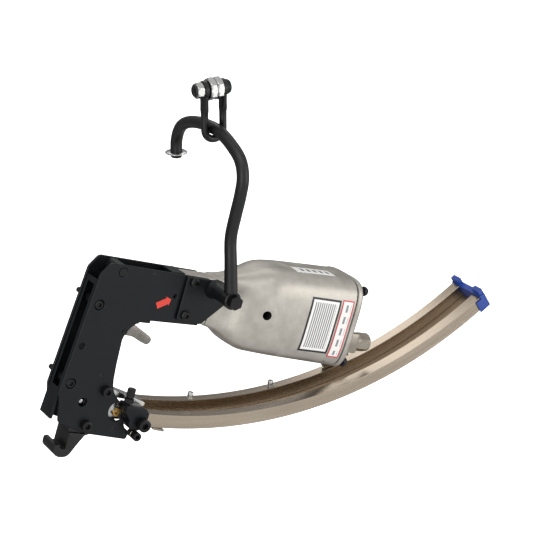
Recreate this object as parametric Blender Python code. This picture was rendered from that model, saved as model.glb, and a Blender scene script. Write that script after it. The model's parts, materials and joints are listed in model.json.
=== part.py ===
# Hanging air-powered clip tool for closing bag necks.
# Lengths are in millimetres and become metres when a mesh is made.
# The tool frame has x towards the barrel, y away from the near plate's side and z up, and its
# origin is where the hanger's pivot axis meets the tool's middle plane. The tool hangs nose up.
# World origin: the centre of the shackle bolt, which carries everything.
import bpy
import bmesh
import math
from mathutils import Matrix, Vector

MM = 0.001
GAP = 0.3                      # clearance between pieces that touch
TILT = math.radians(18.5)      # the barrel hangs lower than the nose
MID_Y = 2.0                    # the tool's middle plane, seen from the shackle bolt
PIVOT_BACK = 10.0              # the bolt hangs this far towards the barrel, nearly over the tool's weight
PIVOT_DROP = 185.5             # hanger pivot below the shackle bolt

# side plates and nose
PLATE_OUT = 14.0               # outer faces at y = +-14
PLATE_IN = 11.0
EDGE_TOP = (-118.0, -1.5)      # the leg's front edge runs from here
EDGE_DIR = (-0.0873, -0.9962)  # in this direction
LEVER_PIVOT = (-96.0, 3.0)
KNEE = (-66.90, -16.45)
RAM_PIN = (-102.67, -32.0)
RAM_PIN_R = 2.4
TRACK_Z = (-137.7, -122.5)     # clips travel between these heights
TRACK_HALF = 7.5
SPACER_POINTS = ((-111.1, -29.6), (-118.4, -105.2))
TRIGGER_PIN = (-78.9, -51.6)

# barrel
AXIS_Z = -16.0
BORE_R = 32.0
BORE_X = (92.0, 150.0)
ROD_R = 6.0
PISTON_X = (112.0, 136.0)

# magazine
ARC_CENTRE = (-22.0, 321.3)
ARC_R = 459.0
ARC_START = math.radians(-91.7)
ARC_END = math.radians(-40.8)
NEAR_HEIGHT = 13.0
FAR_HEIGHT = 15.6
NEAR_RAIL = (-22.3, -9.9)
FAR_RAIL = (10.7, 22.3)
RAIL_WALL = 1.6                # each rail is a bent box section

# hanger
HANGER_Y = -48.0               # the stem's plane beside the tool
BAR_R = 5.7
SHACKLE_ROD_R = 3.4
SHACKLE_HALF = 9.4
BAR_TOP = 148.5                # bar's centre above the pivot where the shackle holds it
EYE = (5.0, -4.4)              # the hanger bar's eye reaches this far along its pin, from the bar's plane
EYE_R = 8.4

for old in list(bpy.data.objects):
    bpy.data.objects.remove(old, do_unlink=True)


def empty(name, place, turn=0.0, parent=None):
    holder = bpy.data.objects.new(name, None)
    bpy.context.scene.collection.objects.link(holder)
    holder.location = Vector(place) * MM
    holder.rotation_euler = (0, turn, 0)
    holder.parent = parent
    return holder


tool = empty("tool_frame", (-PIVOT_BACK, MID_Y, -PIVOT_DROP), TILT)


# ---- solids: each is (points, faces), in millimetres ----

def prism(outline, low, high, axis="y"):
    """A flat outline carried along one axis."""
    place = {"y": lambda a, b, c: (a, c, b), "x": lambda a, b, c: (c, a, b)}[axis]
    n = len(outline)
    points = [place(a, b, low) for a, b in outline] + [place(a, b, high) for a, b in outline]
    faces = [tuple(range(n)), tuple(range(n, 2 * n))]
    faces += [(i, (i + 1) % n, n + (i + 1) % n, n + i) for i in range(n)]
    return points, faces


def block(low, high):
    """A box from its lowest to its highest corner."""
    outline = [(low[0], low[2]), (high[0], low[2]), (high[0], high[2]), (low[0], high[2])]
    return prism(outline, low[1], high[1])


def arc(centre, radius, start, end, steps):
    """Points on an arc, angles in degrees."""
    angles = [math.radians(start + (end - start) * i / steps) for i in range(steps + 1)]
    return [(centre[0] + radius * math.cos(a), centre[1] + radius * math.sin(a)) for a in angles]


def softened(outline, cut, steps=3):
    """The outline with each corner rounded; a point may carry its own radius."""
    result = []
    n = len(outline)
    for i in range(n):
        before, here, after = (Vector(outline[j % n][:2]) for j in (i - 1, i, i + 1))
        radius = outline[i][2] if len(outline[i]) > 2 else cut
        back, ahead = before - here, after - here
        reach = min(radius, 0.45 * back.length, 0.45 * ahead.length)
        if reach < 0.05:
            result.append(tuple(here))
            continue
        first, last = here + back.normalized() * reach, here + ahead.normalized() * reach
        for k in range(steps + 1):
            t = k / steps
            spot = first * (1 - t) ** 2 + here * 2 * t * (1 - t) + last * t * t
            result.append(tuple(spot))
    return result


def frame_along(direction):
    """Two unit vectors square to a direction."""
    along = Vector(direction).normalized()
    guide = Vector((0, 0, 1)) if abs(along.z) < 0.9 else Vector((1, 0, 0))
    side = along.cross(guide).normalized()
    return along, side, side.cross(along)


def turned(profile, base, direction, steps=20):
    """A profile of (radius, distance) points turned about an axis; on-axis ends are closed."""
    along, side, up = frame_along(direction)
    base = Vector(base)
    solid = profile[0][0] == 0 and profile[-1][0] == 0
    rings, points = [], []
    for radius, distance in profile:
        if radius == 0:
            rings.append([len(points)])
            points.append(base + along * distance)
            continue
        rings.append(list(range(len(points), len(points) + steps)))
        for i in range(steps):
            a = 2 * math.pi * i / steps
            points.append(base + along * distance + (side * math.cos(a) + up * math.sin(a)) * radius)
    faces = []
    pairs = list(zip(rings, rings[1:])) + ([] if solid else [(rings[-1], rings[0])])
    for one, two in pairs:
        for i in range(steps):
            j = (i + 1) % steps
            face = [one[i % len(one)], one[j % len(one)], two[j % len(two)], two[i % len(two)]]
            faces.append(tuple(dict.fromkeys(face)))
    return [tuple(p) for p in points], [f for f in faces if len(f) > 2]


def rod(start, end, radius, steps=16, chamfer=0.0):
    """A round bar with optional chamfered ends."""
    length = (Vector(end) - Vector(start)).length
    if chamfer:
        profile = [(0, 0), (radius - chamfer, 0), (radius, chamfer), (radius, length - chamfer),
                   (radius - chamfer, length), (0, length)]
    else:
        profile = [(0, 0), (radius, 0), (radius, length), (0, length)]
    return turned(profile, start, Vector(end) - Vector(start), steps)


def tube(start, end, outer, inner, steps=20):
    length = (Vector(end) - Vector(start)).length
    profile = [(inner, 0), (outer, 0), (outer, length), (inner, length)]
    return turned(profile, start, Vector(end) - Vector(start), steps)


def hex_ring(start, end, across_flats, inner, steps=12):
    """A nut: a hexagon outside and a round hole inside, chamfered at both faces."""
    along, side, up = frame_along(Vector(end) - Vector(start))
    length = (Vector(end) - Vector(start)).length
    outer, bevel = across_flats / math.sqrt(3), 0.06 * across_flats
    rows = []
    for radius, distance in ((inner, 0), (outer - bevel, 0), (outer, bevel * 0.6),
                             (outer, length - bevel * 0.6), (outer - bevel, length), (inner, length)):
        row = []
        for i in range(steps):
            a = 2 * math.pi * i / steps
            reach = radius
            if radius > inner:
                sector = (a + math.pi / 6) % (math.pi / 3) - math.pi / 6
                reach = min(radius, across_flats / 2 / math.cos(math.pi / 6 - abs(sector)))
            row.append(Vector(start) + along * distance + (side * math.cos(a) + up * math.sin(a)) * reach)
        rows.append(row)
    points = [tuple(p) for row in rows for p in row]
    faces = []
    for k in range(len(rows)):
        m = (k + 1) % len(rows)
        for i in range(steps):
            j = (i + 1) % steps
            faces.append((k * steps + i, k * steps + j, m * steps + j, m * steps + i))
    return points, faces


def loft(sections):
    """Skin over closed sections with equal numbers of points, with flat ends."""
    n = len(sections[0])
    points = [p for section in sections for p in section]
    faces = [tuple(range(n)), tuple(range(len(points) - n, len(points)))]
    for k in range(len(sections) - 1):
        for i in range(n):
            j = (i + 1) % n
            faces.append((k * n + i, k * n + j, (k + 1) * n + j, (k + 1) * n + i))
    return points, faces


def swept_round(path, radius, steps=12):
    """A round bar along a path of points; radius is a number or one value for each point."""
    path = [Vector(p) for p in path]
    radii = radius if isinstance(radius, (list, tuple)) else [radius] * len(path)
    normal = None
    sections = []
    for i, here in enumerate(path):
        along = (path[min(i + 1, len(path) - 1)] - path[max(i - 1, 0)]).normalized()
        if normal is None:
            normal = frame_along(along)[1]
        normal = (normal - along * normal.dot(along)).normalized()
        other = along.cross(normal)
        turns = [2 * math.pi * k / steps for k in range(steps)]
        sections.append([tuple(here + (normal * math.cos(a) + other * math.sin(a)) * radii[i])
                         for a in turns])
    return loft(sections)


def smooth_path(controls, steps=4):
    """A Catmull-Rom curve through the control points."""
    controls = [Vector(c) for c in controls]
    padded = [controls[0] * 2 - controls[1]] + controls + [controls[-1] * 2 - controls[-2]]
    result = []
    for i in range(1, len(padded) - 2):
        a, b, c, d = padded[i - 1:i + 3]
        for k in range(steps):
            t = k / steps
            result.append(0.5 * (2 * b + (c - a) * t + (2 * a - 5 * b + 4 * c - d) * t ** 2
                                 + (3 * b - a - 3 * c + d) * t ** 3))
    result.append(controls[-1])
    return result


def cap_screw(point, direction, head_r, head_h, shank_r, shank):
    """A socket-head cap screw; the point is under the head and the direction leaves the head's top."""
    profile = [(0, -shank), (shank_r, -shank), (shank_r, 0), (head_r, 0), (head_r, head_h - 0.5),
               (head_r - 0.5, head_h), (head_r * 0.5, head_h), (head_r * 0.5, head_h * 0.45),
               (0, head_h * 0.45)]
    return turned(profile, point, direction, 16)


def dome_screw(point, direction, head_r, head_h, shank_r, shank):
    """A button-head screw."""
    profile = [(0, -shank), (shank_r, -shank), (shank_r, 0), (head_r, 0), (head_r, head_h * 0.3),
               (head_r * 0.85, head_h * 0.75), (head_r * 0.5, head_h), (head_r * 0.42, head_h),
               (head_r * 0.42, head_h * 0.4), (0, head_h * 0.4)]
    return turned(profile, point, direction, 16)


# ---- nodes ----

def material(name, colour, rough, metal):
    found = bpy.data.materials.get(name)
    if found:
        return found
    made = bpy.data.materials.new(name)
    made.use_nodes = True
    shader = made.node_tree.nodes["Principled BSDF"]
    shader.inputs["Base Color"].default_value = (*colour, 1)
    shader.inputs["Roughness"].default_value = rough
    shader.inputs["Metallic"].default_value = metal
    return made


BLACK = ("black_coated_steel", (0.02, 0.021, 0.024), 0.45, 0.2)
OXIDE = ("black_oxide_steel", (0.015, 0.015, 0.016), 0.38, 0.6)
CAST = ("cast_aluminium", (0.46, 0.42, 0.38), 0.42, 0.9)
NICKEL = ("nickel_plated_steel", (0.50, 0.44, 0.37), 0.28, 1.0)
ZINC = ("zinc_plated_steel", (0.62, 0.62, 0.60), 0.3, 1.0)
STEEL = ("ground_steel", (0.55, 0.55, 0.54), 0.25, 1.0)
BRASS = ("brass", (0.65, 0.42, 0.16), 0.3, 1.0)
BLUE = ("blue_plastic", (0.010, 0.045, 0.23), 0.4, 0.0)
RUBBER = ("seal_rubber", (0.02, 0.02, 0.02), 0.6, 0.0)


def to_mesh(name, solid, origin):
    """A mesh of one closed solid, faces pointing out, measured from the node's own origin."""
    points, faces = solid
    graph = bmesh.new()
    verts = [graph.verts.new((Vector(p) - Vector(origin)) * MM) for p in points]
    for face in faces:
        graph.faces.new([verts[i] for i in face])
    bmesh.ops.remove_doubles(graph, verts=graph.verts, dist=1e-7)
    bmesh.ops.recalc_face_normals(graph, faces=graph.faces)
    mesh = bpy.data.meshes.new(name)
    graph.to_mesh(mesh)
    graph.free()
    return mesh


def node(name, finish, solid, cuts=(), parent=tool, origin=(0, 0, 0), joins=()):
    """A named sub-part. Joins are solids welded to it, and cuts are taken away from it."""
    mesh = to_mesh(name, solid, origin)
    made = bpy.data.objects.new(name, mesh)
    bpy.context.scene.collection.objects.link(made)
    made.parent = parent
    made.location = Vector(origin) * MM
    mesh.materials.append(material(*finish))
    tools = [("UNION", shape) for shape in joins] + [("DIFFERENCE", shape) for shape in cuts]
    for i, (operation, shape) in enumerate(tools):
        cutter = bpy.data.objects.new(f"{name}_tool_{i}", to_mesh(f"{name}_tool_{i}", shape, origin))
        bpy.context.scene.collection.objects.link(cutter)
        cutter.parent = parent
        cutter.location = Vector(origin) * MM
        cutter.hide_render = True
        cutter.display_type = "WIRE"
        change = made.modifiers.new(f"tool_{i}", "BOOLEAN")
        change.operation = operation
        change.solver = "EXACT"
        change.object = cutter
    mesh.shade_smooth()
    mesh.set_sharp_from_angle(angle=math.radians(35))
    return made


def edge_x(z, depth=0.0):
    """The leg's front edge at a height, moved back by a depth."""
    return EDGE_TOP[0] - (EDGE_TOP[1] - z) * EDGE_DIR[0] / EDGE_DIR[1] + depth


def across(spot, low, high, radius, steps=16):
    """A round pin or hole straight across the tool at an (x, z) spot."""
    return rod((spot[0], low, spot[1]), (spot[0], high, spot[1]), radius, steps)


def plate_outline():
    """Inverted L: arm along the top, leg to the nose, with the clip track's round notch."""
    arch = arc((-55.0, -62.5), 24.0, 174, 96, 5)
    notch = arc((-63.5, -128.0), 9.6, 92, 318, 10)
    return ([(-110, 10), EDGE_TOP, (edge_x(-114), -114), (-121, -143.3), (-90, -151.8), (-47.6, -154.6),
             (-46, -147), (-52, -143)] + notch[::-1] + [(-68, -115), (-75, -105), (-77.8, -84)]
            + arch + [(-5, -37.7), (-5, 7.9)])


# side plates
PLATE_HOLES = [(SPACER_POINTS[0], 2.9), (SPACER_POINTS[1], 2.9), (LEVER_PIVOT, 4.3), (TRIGGER_PIN, 2.3)]
NOSE_SCREWS = ((-81.5, -109.0), (-93.0, -143.2))
BRACKET_SCREWS = ((-22.7, 3.6), (-23.4, -28.3))
near_cuts = [across(spot, -20, -5, r + GAP) for spot, r in PLATE_HOLES[2:]]
near_cuts += [across(spot, -20, -5, 2.9 + GAP) for spot in SPACER_POINTS]
near_cuts += [across(spot, -20, -12.2, 4.9 + GAP) for spot in SPACER_POINTS]
near_cuts += [across(spot, -20, -5, 2.5 + GAP) for spot in NOSE_SCREWS]
near_cuts += [across(spot, -20, -5, 2.5 + GAP) for spot in BRACKET_SCREWS]
near_cuts += [across((-117.6, -69.3), -20, -5, 3.0), across((-101.5, -122.0), -20, -5, 4.2),
              across((-37.0, -12.6), -20, -5, 1.8, 12)]
node("near_side_plate", BLACK, prism(plate_outline(), -PLATE_OUT, -PLATE_IN), near_cuts)
far_cuts = [across(spot, 5, 20, 2.9 + GAP) for spot in SPACER_POINTS]
far_cuts += [across(spot, 5, 20, r + GAP) for spot, r in PLATE_HOLES[2:]]
far_cuts += [across(spot, 5, 20, 2.5 + GAP) for spot in NOSE_SCREWS]
node("far_side_plate", BLACK, prism(plate_outline(), PLATE_IN, PLATE_OUT), far_cuts)

# front channel: a shallow U closing the leg's front, with a long window
channel_inside = PLATE_IN - GAP


def leg_strip(top, bottom, near_depth, far_depth):
    return [(edge_x(top, near_depth), top), (edge_x(bottom, near_depth), bottom),
            (edge_x(bottom, far_depth), bottom), (edge_x(top, far_depth), top)]


node("front_channel", BLACK, prism(leg_strip(-8, -141, 1.0, 3.8), -channel_inside, channel_inside),
     [prism(leg_strip(0, -150, 2.4, 8), -8.8, 8.8), prism(leg_strip(-13, -112, -4, 8), -6.5, 6.5)])

front_screw = [(0, 0), (3.6, 0), (4.2, 0.6), (4.2, 17.4), (2.6, 17.4), (2.6, 44), (4.8, 44), (4.8, 45.7),
               (2.0, 45.7), (2.0, 44.6), (0, 44.6)]
for place, (x, z) in zip(("upper", "lower"), SPACER_POINTS):
    node(f"front_spacer_{place}", BLACK, tube((x, -channel_inside, z), (x, channel_inside, z), 4.4, 2.9))
    node(f"front_screw_{place}", ZINC, turned(front_screw, (x, 31.8, z), (0, -1, 0), 16))
node("top_bridge", BLACK, prism(softened([(-44, 9.4), (-44, 2), (-30.5, 2), (-30.5, 9.4)], 1.5),
                                -channel_inside, channel_inside))
node("lever_pivot_pin", OXIDE, across(LEVER_PIVOT, -13.8, 13.8, 4.0))
for place, (x, z) in zip(("upper", "lower"), NOSE_SCREWS):
    node(f"nose_screw_{place}", OXIDE, cap_screw((x, -PLATE_OUT - GAP, z), (0, -1, 0), 5.1, 5.0, 2.5, 27))

# nose: guides for the ram, the clip track's block and the hook with its die
node("ram_guide", BLACK, prism(leg_strip(-62, -137, 13.5, 23.9), -channel_inside, channel_inside),
     [prism(leg_strip(-50, -150, 5, 22.3), -8.4, 8.4)])
nose_section = [(-channel_inside, TRACK_Z[0]), (-channel_inside, -101), (channel_inside, -101),
                (channel_inside, TRACK_Z[0]), (TRACK_HALF, TRACK_Z[0]), (TRACK_HALF, TRACK_Z[1]),
                (-TRACK_HALF, TRACK_Z[1]), (-TRACK_HALF, TRACK_Z[0])]
node("nose_block", BLACK, prism(nose_section, -99.5, -76.5, "x"),
     [across(NOSE_SCREWS[0], -12, 13, 2.5 + GAP)])
hook_outline = softened([(-107, -151.9), (-107, -168.3, 1), (-111.6, -168.3, 2), (-113.8, -164.2, 1.2),
                         (-118.2, -164.9, 1.5), (-118.4, -172.6, 3), (-113, -176.2, 4), (-103, -175.6, 7),
                         (-96.5, -163, 3), (-90.2, -152.2)], 0.6)
hook_tang = prism([(-106.7, -158), (-98, -158), (-78, -150.8), (-78, -138.2), (-106.7, -138.2)],
                  -channel_inside, channel_inside)
node("bag_hook", BLACK, prism(hook_outline, -PLATE_OUT, channel_inside),
     [across(NOSE_SCREWS[1], -12, 13, 2.5 + GAP)], joins=[hook_tang])
track_side, track_inner = TRACK_HALF - GAP, TRACK_HALF - 2
node("clip_track", STEEL, prism([(-track_side, -137.6), (track_side, -137.6), (track_side, -125),
                                 (track_inner, -125), (track_inner, -135.8), (-track_inner, -135.8),
                                 (-track_inner, -125), (-track_side, -125)], -99, -38.5, "x"))

# hanger bracket, boss and pivot bolt on the near side
bracket_out = -PLATE_OUT - GAP - 3.0
node("hanger_bracket", BLACK,
     prism(softened([(-30.8, 8), (8.5, 8), (15.5, -14.5), (-4.5, -35.4), (-30.8, -33.8)], 2.0),
           bracket_out, -PLATE_OUT - GAP),
     [across(spot, -25, -5, 2.5 + GAP) for spot in BRACKET_SCREWS] + [across((0, 0), -25, -5, 4 + GAP)])
for place, (x, z) in zip(("upper", "lower"), BRACKET_SCREWS):
    node(f"bracket_screw_{place}", OXIDE,
         dome_screw((x, bracket_out - GAP, z), (0, -1, 0), 4.7, 3.0, 2.5, 5.8))
node("hanger_boss", BLACK, turned([(4.4, 0), (9.5, 0), (9.2, 2.0), (7.6, 5.0), (7.4, 25.1), (4.4, 25.1)],
                                  (0, bracket_out - GAP, 0), (0, -1, 0), 24))
node("hanger_pivot_bolt", OXIDE, turned([(0, 0), (4.0, 0), (4.0, 41.3), (6.6, 41.3), (7.0, 41.9), (7.0, 46.2),
                                         (6.2, 47.0), (0, 47.0)], (0, -11.4, 0), (0, -1, 0), 20))

# barrel: a casting whose section grows from the flat neck to a rounded square
def rounded_square(x, middle, half_h, half_w, power, steps=32):
    ring = []
    for i in range(steps):
        a = 2 * math.pi * (i + 0.5) / steps
        c, s = math.cos(a), math.sin(a)
        ring.append((x, half_w * math.copysign(abs(c) ** (2 / power), c),
                     middle + half_h * math.copysign(abs(s) ** (2 / power), s)))
    return ring


CAST_SECTIONS = ((-29.5, -14.0, 22.4, 10.6, 9), (2.0, -14.4, 23.0, 10.6, 9), (4.5, -14.6, 24.0, 13.6, 6),
                 (17.0, -15.4, 26.8, 13.9, 5), (31.0, -18.0, 33.5, 24.0, 3.4), (44.0, -18.0, 38.0, 31.5, 3.4),
                 (58.0, -15.4, 41.5, 35.0, 3.6), (74.0, -14.8, 42.8, 36.2, 3.8),
                 (149.7, -15.2, 45.0, 37.6, 4.2))
COVER_SECTION = (-15.2, 45.4, 38.0, 4.4)
COVER_SCREWS = [(sy * 30.0, COVER_SECTION[0] + sz * 36.5) for sy in (-1, 1) for sz in (-1, 1)]


def along_barrel(y, z, start, end, radius, steps=16):
    return rod((start, y, z), (end, y, z), radius, steps)


CORE_SECTIONS = ((28.0, -17.5, 25.5, 15.0, 3.4), (44.0, -18.0, 32.0, 25.5, 3.4),
                 (58.0, -15.4, 35.5, 29.0, 3.6), (84.0, -14.8, 37.0, 30.5, 3.8))
barrel_core = loft([rounded_square(*section, 24) for section in CORE_SECTIONS])
cover_holes = [along_barrel(y, z, 130, 170, 2.3, 12) for y, z in COVER_SCREWS]
PORT = (53.6, -14.1)
node("cylinder_body", CAST, loft([rounded_square(*section) for section in CAST_SECTIONS]),
     [barrel_core, along_barrel(0, AXIS_Z, BORE_X[0], 160, BORE_R, 32),
      along_barrel(0, AXIS_Z, -32, 100, ROD_R + 1.9, 20),
      across(PORT, -45, -26, 4.6, 16), across(PORT, -28, 0, 3.2, 12),
      across((0, 0), -16, -10.8, 4 + GAP, 12)] + cover_holes)
INLET = (0.0, -38.0)
middle, half_h, half_w, power = COVER_SECTION
node("end_cover", CAST, loft([rounded_square(x, middle, half_h - d, half_w - d, power)
                              for x, d in ((151.1, 0), (156.0, 0), (158.0, 2))]),
     cover_holes + [along_barrel(*INLET, 145, 165, 5.4)])
for place, (y, z) in zip(("near_low", "near_high", "far_low", "far_high"), COVER_SCREWS):
    node(f"cover_screw_{place}", OXIDE, dome_screw((158.3, y, z), (1, 0, 0), 4.9, 5.6, 2.0, 24))
node("rod_bush", BRASS, tube((-29.4, 0, AXIS_Z), (-12, 0, AXIS_Z), ROD_R + 1.6, ROD_R + 0.05, 20))

# piston group, on the barrel's axis
piston_empty = empty("piston_axis", (PISTON_X[0], 0, AXIS_Z), parent=tool)


def from_piston(x):
    return x - PISTON_X[0]


node("piston", CAST, turned([(ROD_R + GAP, 0), (26, 0), (31.7, 3), (31.7, 9), (28.6, 9), (28.6, 15),
                             (31.7, 15), (31.7, 24), (ROD_R + GAP, 24)], (0, 0, 0), (1, 0, 0), 32),
     parent=piston_empty)
node("piston_seal", RUBBER, tube((9.3, 0, 0), (14.7, 0, 0), 31.8, 28.9, 32), parent=piston_empty)
PAD_FACE = KNEE[0] + 8.4
node("piston_rod", STEEL, turned([(0, 0), (9.5, 0), (10, 0.5), (10, 4.5), (ROD_R, 6.5),
                                  (ROD_R, from_piston(PISTON_X[1] + 4) - from_piston(PAD_FACE)),
                                  (0, from_piston(PISTON_X[1] + 4) - from_piston(PAD_FACE))],
                                 (from_piston(PAD_FACE), 0, 0), (1, 0, 0), 20), parent=piston_empty)

# toggle: lever on the plates' pivot pin, two link plates and the ram
lever_empty = empty("lever_pivot", (LEVER_PIVOT[0], 0, LEVER_PIVOT[1]), parent=tool)
knee_local = (KNEE[0] - LEVER_PIVOT[0], KNEE[1] - LEVER_PIVOT[1])


def strap(first, last, first_r, last_r, low, high, steps=8):
    """A flat lever with two round ends."""
    lean = math.degrees(math.atan2(last[1] - first[1], last[0] - first[0]))
    outline = arc(first, first_r, lean + 90, lean + 270, steps)
    return prism(outline + arc(last, last_r, lean - 90, lean + 90, steps), low, high)


node("drive_lever", BLACK, strap((0, 0), knee_local, 6.6, 7.2, -5, 5),
     [across((0, 0), -12, 12, 4 + GAP), across(knee_local, -8, 8, 3.5 + GAP)], parent=lever_empty,
     joins=[across((0, 0), -10.5, 10.5, 6.55, 20)])
knee_empty = empty("knee_axis", (knee_local[0], 0, knee_local[1]), parent=lever_empty)
ram_local = (RAM_PIN[0] - KNEE[0], RAM_PIN[1] - KNEE[1])
link_gap = [tuple(Vector(ram_local) * t + Vector((ram_local[1], -ram_local[0])) * s)
            for t, s in ((-0.4, -0.5), (0.42, -0.5), (0.42, 0.5), (-0.4, 0.5))]
link_fork = [tuple(Vector(ram_local) * t + Vector((ram_local[1], -ram_local[0])) * s)
             for t, s in ((0.58, -0.5), (1.4, -0.5), (1.4, 0.5), (0.58, 0.5))]
node("toggle_link", BLACK, strap((0, 0), ram_local, 6.4, 4.1, -9.6, 9.6),
     [prism(link_gap, -5.5, 5.5), prism(link_fork, -5.6, 5.6), across((0, 0), -12, 12, 3.5 + GAP),
      across(ram_local, -12, 12, RAM_PIN_R + GAP)], parent=knee_empty)
node("knee_pin", OXIDE, across((0, 0), -10.2, 10.2, 3.5), parent=knee_empty)
node("ram_pin", OXIDE, across(ram_local, -10.2, 10.2, RAM_PIN_R), parent=knee_empty)
ram_empty = empty("ram_axis", (RAM_PIN[0], 0, RAM_PIN[1]), parent=tool)


def along_ram(down, back):
    return (EDGE_DIR[0] * down - EDGE_DIR[1] * back, EDGE_DIR[1] * down + EDGE_DIR[0] * back)


RAM_SLOT = 1.6
ram_outline = [along_ram(-8, -4), along_ram(-8, 4), along_ram(104, 4), along_ram(104, -4)]
slot_shape = (arc(along_ram(RAM_SLOT, 0), RAM_PIN_R + GAP, 180, 360, 6)
              + arc(along_ram(-GAP, 0), RAM_PIN_R + GAP, 0, 180, 6))
node("ram", STEEL, prism(ram_outline, -5.2, 5.2), [prism(slot_shape, -9, 9)], parent=ram_empty)

# trigger and its valve, in the crook between arm and leg
trigger_empty = empty("trigger_pivot", (TRIGGER_PIN[0], 0, TRIGGER_PIN[1]), parent=tool)
trigger_shape = softened([(-4, 5), (12, 5.5), (21, 1.8), (33, -4.4), (34.3, -8.4), (30.6, -12.4), (23, -9.8),
                          (13, -5.6), (2, -5), (-4, -4)], 2.4)
node("trigger", CAST, prism(trigger_shape, -7, 7), [across((0, 0), -12, 12, 2.0 + GAP, 12)],
     parent=trigger_empty)
node("trigger_pin", OXIDE, across(TRIGGER_PIN, -13.9, 13.9, 2.0, 12))
VALVE_X = -62.5
node("valve_body", BLACK, block((VALVE_X - 9, -10.6, -42), (VALVE_X + 9, 10.6, -34.4)),
     [rod((VALVE_X, 0, -50), (VALVE_X, 0, -30), 2.6, 12)])
stem_low = TRIGGER_PIN[1] + 5.8
node("valve_stem", STEEL, turned([(0, 0), (3.6, 0), (3.6, 2.0), (2.2, 2.0), (2.2, 13.0), (0, 13.0)],
                                 (VALVE_X, 0, stem_low), (0, 0, 1), 12))

# air inlet behind the barrel: a block on the end cover with a swivel nut
node("inlet_block", NICKEL, prism(softened([(166, -48), (166, -28), (188, -28), (188, -48)], 3), -10.6, 9.4),
     joins=[along_barrel(*INLET, 152, 168, 5.0)])
swivel = Vector((188.3, -0.6, -38))
node("inlet_swivel", NICKEL, hex_ring(tuple(swivel), tuple(swivel + Vector((17, 0, 0))), 17, 4.2))

# magazine: two rails on a floor, all on one arc
def on_arc(angle, height, y=0.0):
    reach = ARC_R - height
    return (ARC_CENTRE[0] + reach * math.cos(angle), y, ARC_CENTRE[1] + reach * math.sin(angle))


def ring_segment(inner, outer, start, end, low, high, steps):
    """A block bent along the magazine's arc; inner and outer are heights above the outside radius."""
    sections = []
    for i in range(steps + 1):
        a = start + (end - start) * i / steps
        corners = ((low, inner), (high, inner), (high, outer), (low, outer))
        sections.append([on_arc(a, h, y) for y, h in corners])
    return loft(sections)


def up_from_arc(angle):
    return (-math.cos(angle), 0, -math.sin(angle))


RAIL_STEPS = 30
RAIL_HOLES = [math.radians(a) for a in (-83.3, -71.5)]



def rail_inside(rail, height):
    """The hollow of a box-section rail, open at both ends."""
    return ring_segment(RAIL_WALL, height - RAIL_WALL, ARC_START - 0.01, ARC_END + 0.01,
                        rail[0] + RAIL_WALL, rail[1] - RAIL_WALL, RAIL_STEPS)


node("near_rail", NICKEL, ring_segment(0, NEAR_HEIGHT, ARC_START, ARC_END, *NEAR_RAIL, RAIL_STEPS),
     [rail_inside(NEAR_RAIL, NEAR_HEIGHT)])
rail_holes = [rod(on_arc(a, 4, 17), on_arc(a, 20, 17), 1.8, 12) for a in RAIL_HOLES]
node("far_rail", NICKEL, ring_segment(0, FAR_HEIGHT, ARC_START, ARC_END, *FAR_RAIL, RAIL_STEPS),
     [rail_inside(FAR_RAIL, FAR_HEIGHT)] + rail_holes)
node("magazine_floor", NICKEL, ring_segment(1.0, 3.0, ARC_START, ARC_END, NEAR_RAIL[1] + GAP,
                                            FAR_RAIL[0] - GAP, RAIL_STEPS))
for place, a in zip(("front", "rear"), RAIL_HOLES):
    node(f"rail_screw_{place}", ZINC,
         cap_screw(on_arc(a, FAR_HEIGHT + GAP, 17), up_from_arc(a), 2.9, 5.6, 1.5, 8))
cap_plate = ring_segment(-1.6, 15.5, ARC_END + 0.0008, ARC_END + 0.0145, -23.9, 23.9, 3)
cap_prongs = [ring_segment(10, 21.5, ARC_END + 0.0030, ARC_END + 0.0145, y - 5.5, y + 5.5, 2)
              for y in (-17.5, 17.5)]
cap_skirts = [ring_segment(-1.6, 11.5, ARC_END - 0.0140, ARC_END + 0.0030, low, high, 3)
              for low, high in ((-23.9, -22.6), (22.6, 23.9))]
node("magazine_end_cap", BLUE, cap_plate, joins=cap_prongs + cap_skirts)

# magazine support under the barrel
node("magazine_bracket", NICKEL,
     prism(softened([(150, -62.6), (150, -60.8), (176, -60.8), (183.5, -54), (198, -54), (198, -57.5),
                     (186, -57.5), (177.5, -64.5), (172, -64.5), (172, -62.6)], 0.8), 11.4, 22.0),
     joins=[prism([(168, -64), (186, -58), (196, -63.8), (176, -73.9)], 14, 20)])

# magazine front: bracket on the rails, thumb screw, and the block beside the nose
node("magazine_front_bracket", ZINC,
     prism(softened([(-70, -109.5), (-63, -111.5), (-36, -118.6), (-34, -119.2), (-34, -122.6), (-38, -122.4),
                     (-56, -117.4), (-70, -116.4)], 1.0), -7.9, 7.9))
node("thumb_screw", OXIDE, turned([(0, 0), (4.4, 0), (4.4, 4.6), (3.0, 5.2), (3.0, 5.8), (3.9, 6.2),
                                   (3.9, 13.4), (3.2, 14.2), (0, 14.2)],
                                  (-56.2, -15.6, -117.8), (0, 0, 1), 20))
node("nose_side_block", BLACK,
     prism(softened([(-61, -118.2), (-39, -120.6), (-36.6, -124.5), (-36.8, -138.5), (-43.5, -141.6),
                     (-51, -141.4), (-54.5, -136.5), (-54.5, -132), (-61, -124)], 1.0), -23.5, -8.2),
     [rod((-41.0, -30, -134.4), (-41.0, -10, -134.4), 2.5 + GAP, 12)])
node("block_screw_large", OXIDE, cap_screw((-41.0, -23.8, -134.4), (0, -1, 0), 6.0, 7.0, 2.5, 12))
node("block_screw_small", OXIDE, cap_screw((-44.8, -21.6, -146.2), (0, -1, 0), 4.2, 7.0, 2.4, 7))

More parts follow.
